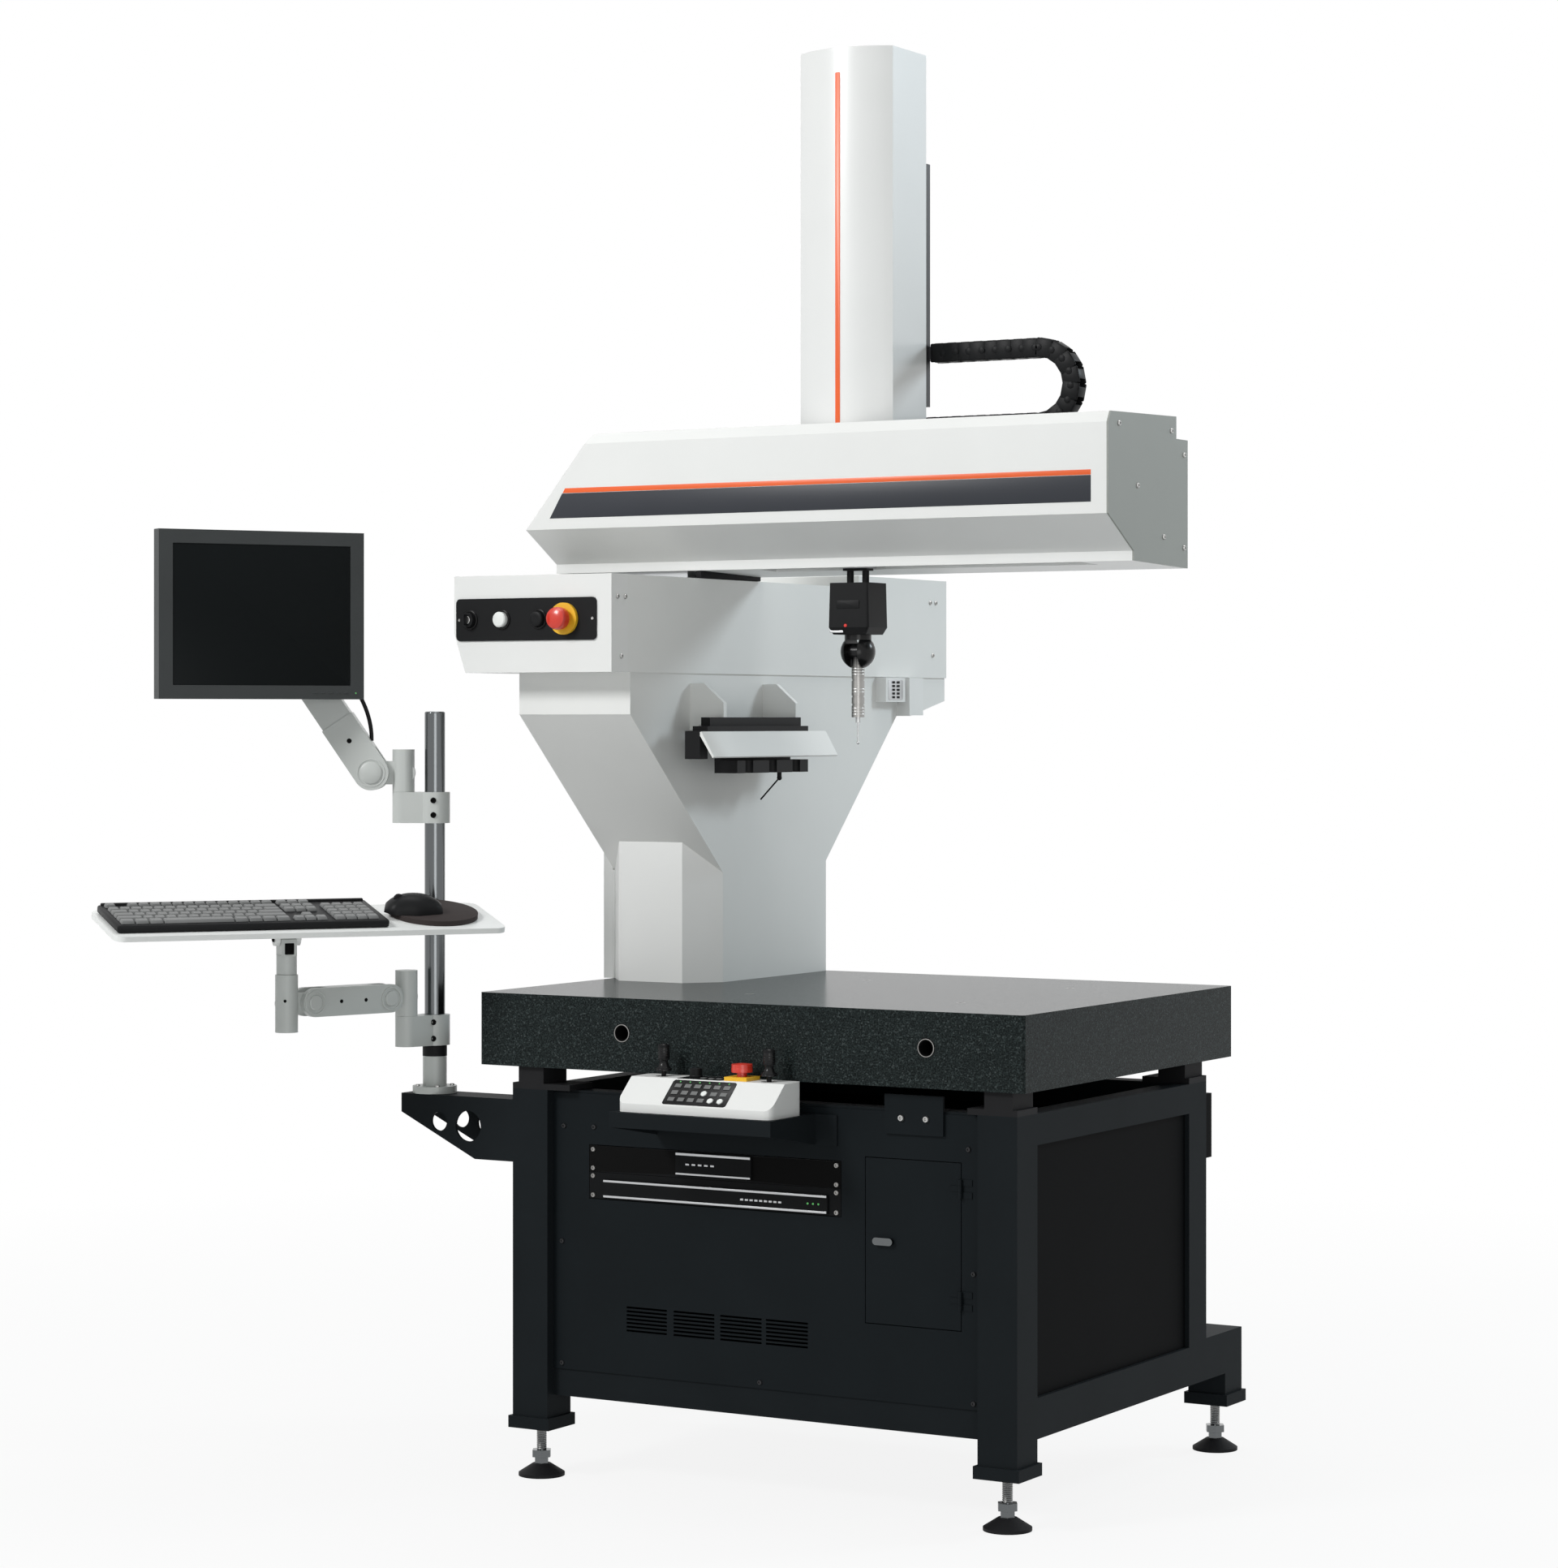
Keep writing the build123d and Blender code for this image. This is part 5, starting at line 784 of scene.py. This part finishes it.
with making("screen_pane", GLASS, "monitor", "monitor_case") as bm:
    plate(bm, rounded((-158, 158), (-118, 118), 1.5), 0.8, moved(SCREEN, (0, -150.4, 0), 90))
with making("screen_keys", CASE, "monitor", "monitor_case") as bm:
    for i in range(5):
        block(bm, (90 + 14 * i, 98 + 14 * i), (-152.8, -151.8), (-132, -129.5), SCREEN, bevel=0.4)
with making("screen_lamp", LED_GREEN, "monitor", "white_button") as bm:
    lathe(bm, ((1.4, 0), (1.4, 0.5), (0, 0.8)), moved(SCREEN, (168, -152, -131), 90), n=12)
with making("screen_vents", DARK, "monitor", "monitor_case") as bm:
    for i in range(18):
        block(bm, (-119 + 14 * i, -113 + 14 * i), (-110.4, -109.6), (70, 92), SCREEN, bevel=0.3)
with making("screen_screws", STEEL, "monitor", "zinc_steel") as bm:
    for x in (-37.5, 37.5):
        for z in (-37.5, 37.5):
            screw(bm, moved(SCREEN, (x, -106, z), -90), 4)

# Arms: clamp screws, pivot caps, and holes drawn as discs of painted shade

with making("clamp_screws", DARK, "base", "black_plastic") as bm:
    for z in (1110, 1135, 728, 756):
        screw(bm, post_face(POLE, -60, 25.6, z), 5, 3)

SCREEN_ARM_HALF = 22
screen_pivot = Vector((*ahead(SCREEN_HUB, SCREEN_ARM_TURN, SCREEN_PIVOT_OUT), SCREEN_PIVOT_Z))
screen_side = across(SCREEN_ARM_TURN)
lean = atan2(SCREEN_RISE, SCREEN_REACH)
level_x, level_y = heading(SCREEN_ARM_TURN)
along = Vector((level_x * cos(lean), level_y * cos(lean), sin(lean)))
with making("pivot_caps", ARM, "monitor_arm", "arm_grey") as bm:
    for sign in (-1, 1):
        flank = arm_side(screen_pivot, screen_side, SCREEN_ARM_HALF, sign)
        lathe(bm, ((19, 0), (19, 2), (17, 3.4), (0, 3.6)), flank, n=36)
        ring(bm, flank, 22, 24.5, 1)
with making("arm_holes", DARK, "monitor_arm", "black_plastic") as bm:
    for sign in (-1, 1):
        hole(bm, arm_side(screen_pivot, screen_side, SCREEN_ARM_HALF, sign, 66 * along), 4.2)

TRAY_ARM_HALF = 20
tray_side = across(TRAY_ARM_TURN)
with making("tray_pivot_caps", ARM, "keyboard_arm", "arm_grey") as bm:
    for reach in (45, 200):
        for sign in (-1, 1):
            pivot = Vector((*ahead(TRAY_HUB, TRAY_ARM_TURN, reach), TRAY_ARM_Z))
            flank = arm_side(pivot, tray_side, TRAY_ARM_HALF, sign)
            lathe(bm, ((13, 0), (13, 1.6), (11.5, 2.8), (0, 3)), flank, n=36)
            ring(bm, flank, 17.5, 20.5, 1.6)
with making("tray_arm_holes", DARK, "keyboard_arm", "black_plastic") as bm:
    for reach in (98, 148):
        for sign in (-1, 1):
            pivot = Vector((*ahead(TRAY_HUB, TRAY_ARM_TURN, reach), TRAY_ARM_Z))
            hole(bm, arm_side(pivot, tray_side, TRAY_ARM_HALF, sign), 3.2)

# Tray bracket and post: tilt plate, its screws, and the bracket's window and the post's holes drawn in
# painted shade

with making("tilt_plate", ARM, "tray", "arm_grey") as bm:
    block(bm, (-32, 32), (8, 54), (-17, -9.2), TRAY, bevel=1.2)
with making("tilt_screws", DARK, "tray", "black_plastic") as bm:
    for sign in (-1, 1):
        for z in (0, 17):
            screw(bm, moved(TILT, (sign * 22, 0, z), 90 * sign, "Y"), 4.6, 2.6)
with making("tilt_window", DARK, "tray_bracket", "black_plastic") as bm:
    plate(bm, rounded((-8, 8), (-25, -6), 1.5), 0.5, moved(TILT, (0, -16, 0), 90))
with making("post_holes", DARK, "keyboard_post", "black_plastic") as bm:
    for turn in (-60, 120):
        hole(bm, post_face(TRAY_POST, turn, 18.9, 806), 2.6)


# Solids of more than one finish, and the pole's collar and flange screws

def part_look(node, look, test):
    """Gives the faces of a solid that pass a test on their middle, in millimetres, another finish."""
    obj = NODES[node]
    obj.data.materials.append(look)
    slot = len(obj.data.materials) - 1
    for polygon in obj.data.polygons:
        if test((obj.matrix_world @ polygon.center) / MM - TABLE):
            polygon.material_index = slot


SLEEVE_TOP = 697
part_look("pole", ARM, lambda c: c.z < SLEEVE_TOP)
part_look("probe_body", GLOSSY, lambda c: c.z > 1362)
part_look("rack_units", DARK, lambda c: 520 < c.z < 563 and not -141 < c.x < 6)
# The inserts' front faces, down the lifting bores, take the shadow-gap black as painted shade inside the
# holes.
part_look("table_inserts", DARK, lambda c: c.y < -300)
to_tray = TRAY.inverted()
part_look("keyboard_tray", MAT, lambda c: (to_tray @ at(*c)).z > 0.3)
with making("pole_collar", RUBBER, "base", "pad_black") as bm:
    lathe(bm, ((17.6, 0), (20.9, 0), (20.9, 17), (17.6, 18)), upright(*POLE, SLEEVE_TOP), n=40)
with making("flange_screws", STEEL, "base", "zinc_steel") as bm:
    for turn in (45, 135, 225, 315):
        screw(bm, upright(*ahead(POLE, turn, 30), 646), 4.2)

# Keyboard: tapered keys on a deck that stands for the plain solid

KEYBOARD = (-82, 2)
PITCH = 19
KEYS_LEFT = -222.5
KEYS_MIDDLE = 78
KEYS_RIGHT = 147.5
ROW_Y = (24, 5, -14, -33, -52)
TOP_ROW_Y = 50
TOP_ROW_DEEP = 17
# Widths of the typing keys in pitches, row by row
WIDTHS = ([1] * 13 + [2], [1.5] + [1] * 12 + [1.5], [1.75] + [1] * 11 + [2.25],
          [2.25] + [1] * 10 + [2.75], [1.25] * 3 + [6.25] + [1.25] * 4)
# How far each ring of a key grows from its foot, and its height
KEY_RINGS = ((0, 0), (-0.6, 2.2), (-2.0, 5.0), (-2.9, 5.6), (-4.2, 5.3))


def bridge(bm, sections):
    """Faces between each closed loop of vertices and the next."""
    for low, high in zip(sections, sections[1:]):
        n = len(low)
        for i in range(n):
            bm.faces.new((low[i], low[(i + 1) % n], high[(i + 1) % n], high[i]))


def keycap(bm, x, y, wide, deep=PITCH):
    """Tapered key with a rounded top."""
    a, b = (wide - 1.6) / 2, (deep - 1.6) / 2
    m = moved(TRAY, (KEYBOARD[0] + x, KEYBOARD[1] + y, 14))
    rings = []
    for grow, z in KEY_RINGS:
        outline = rounded((-a - grow * 0.9, a + grow * 0.9), (-b - grow, b + grow), 1.4, n=2)
        rings.append([bm.verts.new(m @ Vector((px, py, z))) for px, py in outline])
    bridge(bm, rings)
    bm.faces.new(rings[-1])


bm = bmesh.new()
for y, widths in zip(ROW_Y, WIDTHS):
    x = KEYS_LEFT
    for w in widths:
        keycap(bm, x + w * PITCH / 2, y, w * PITCH)
        x += w * PITCH
for column in range(15):
    if column != 1:
        keycap(bm, KEYS_LEFT + PITCH * (column + 0.5), TOP_ROW_Y, PITCH, TOP_ROW_DEEP)
for column in range(3):
    keycap(bm, KEYS_MIDDLE + PITCH * column, TOP_ROW_Y, PITCH, TOP_ROW_DEEP)
    for row in (0, 1, 3, 4):
        if row != 3 or column == 1:
            keycap(bm, KEYS_MIDDLE + PITCH * column, ROW_Y[row], PITCH)
for column in range(4):
    for y in ROW_Y:
        keycap(bm, KEYS_RIGHT + PITCH * column, y, PITCH)
keys = piece("keyboard_keys", bm, KEYCAP, "tray")
bm = bmesh.new()
m = moved(TRAY, (*KEYBOARD, 0))
block(bm, (-230, 230), (-68, 68), (0.3, 13.6), m, bevel=4, segments=3)
block(bm, (-225, 225), (60.5, 67.5), (12, 17), m, bevel=2.2, segments=3)
deck = piece("keyboard_deck", bm, BLACK, "tray")
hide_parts("keyboard")
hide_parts("keyboard")

# Mouse on its mat: a domed shell that stands for the plain solid, and the wheel

with making("mouse_mat", MAT, "tray", "black_plastic") as bm:
    plate(bm, disc(75, 64), 0.7, moved(TRAY, (250, 9, 8)), bevel=0.3)

MOUSE = moved(TRAY, (212, 2, 0), 90, "Z")
MOUSE_LONG = 104
MOUSE_HALF = 30.5
MOUSE_HIGH = 31
MOUSE_BASE = 8.8
MOUSE_SLICES = 14
MOUSE_RING = 32


def mouse_size(s):
    """Half width and height of the mouse at a share of its length."""
    off = abs(2 * s - 1)
    half = MOUSE_HALF * max(0.0, 1 - off ** 3.2) ** 0.42 * (0.93 + 0.07 * cos(4 * pi * s))
    high = MOUSE_HIGH * max(0.0, 1 - off ** 2.6) ** 0.5 * (0.80 + 0.20 * sin(pi * (0.92 - 0.78 * s)))
    return max(half, 0.5), max(high, 0.5)


bm = bmesh.new()
sections = []
for i in range(MOUSE_SLICES + 1):
    s = i / MOUSE_SLICES
    half, high = mouse_size(s)
    section = []
    for j in range(MOUSE_RING):
        a = 2 * pi * j / MOUSE_RING
        x = half * abs(cos(a)) ** 0.8 * (1 if cos(a) >= 0 else -1)
        z = MOUSE_BASE + high * max(0.0, sin(a)) ** 0.85
        section.append(bm.verts.new((x, -MOUSE_LONG / 2 + MOUSE_LONG * s, z)))
    sections.append(section)
bridge(bm, sections)
bm.faces.new(sections[0])
bm.faces.new(sections[-1])
bmesh.ops.remove_doubles(bm, verts=bm.verts, dist=0.02)
place(bm, bm.verts, MOUSE)
shell = piece("mouse_shell", bm, BLACK, "mouse", smooth=60)
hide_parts("mouse")
with making("mouse_wheel", RUBBER, "mouse", "pad_black") as bm:
    lathe(bm, ((0, -3.5), (7, -3.5), (8.6, -2.4), (9, 0), (8.6, 2.4), (7, 3.5), (0, 3.5)),
          moved(MOUSE, (0, 28, 31), 90, "Y"), n=32)

bpy.context.scene.view_settings.view_transform = "Standard"
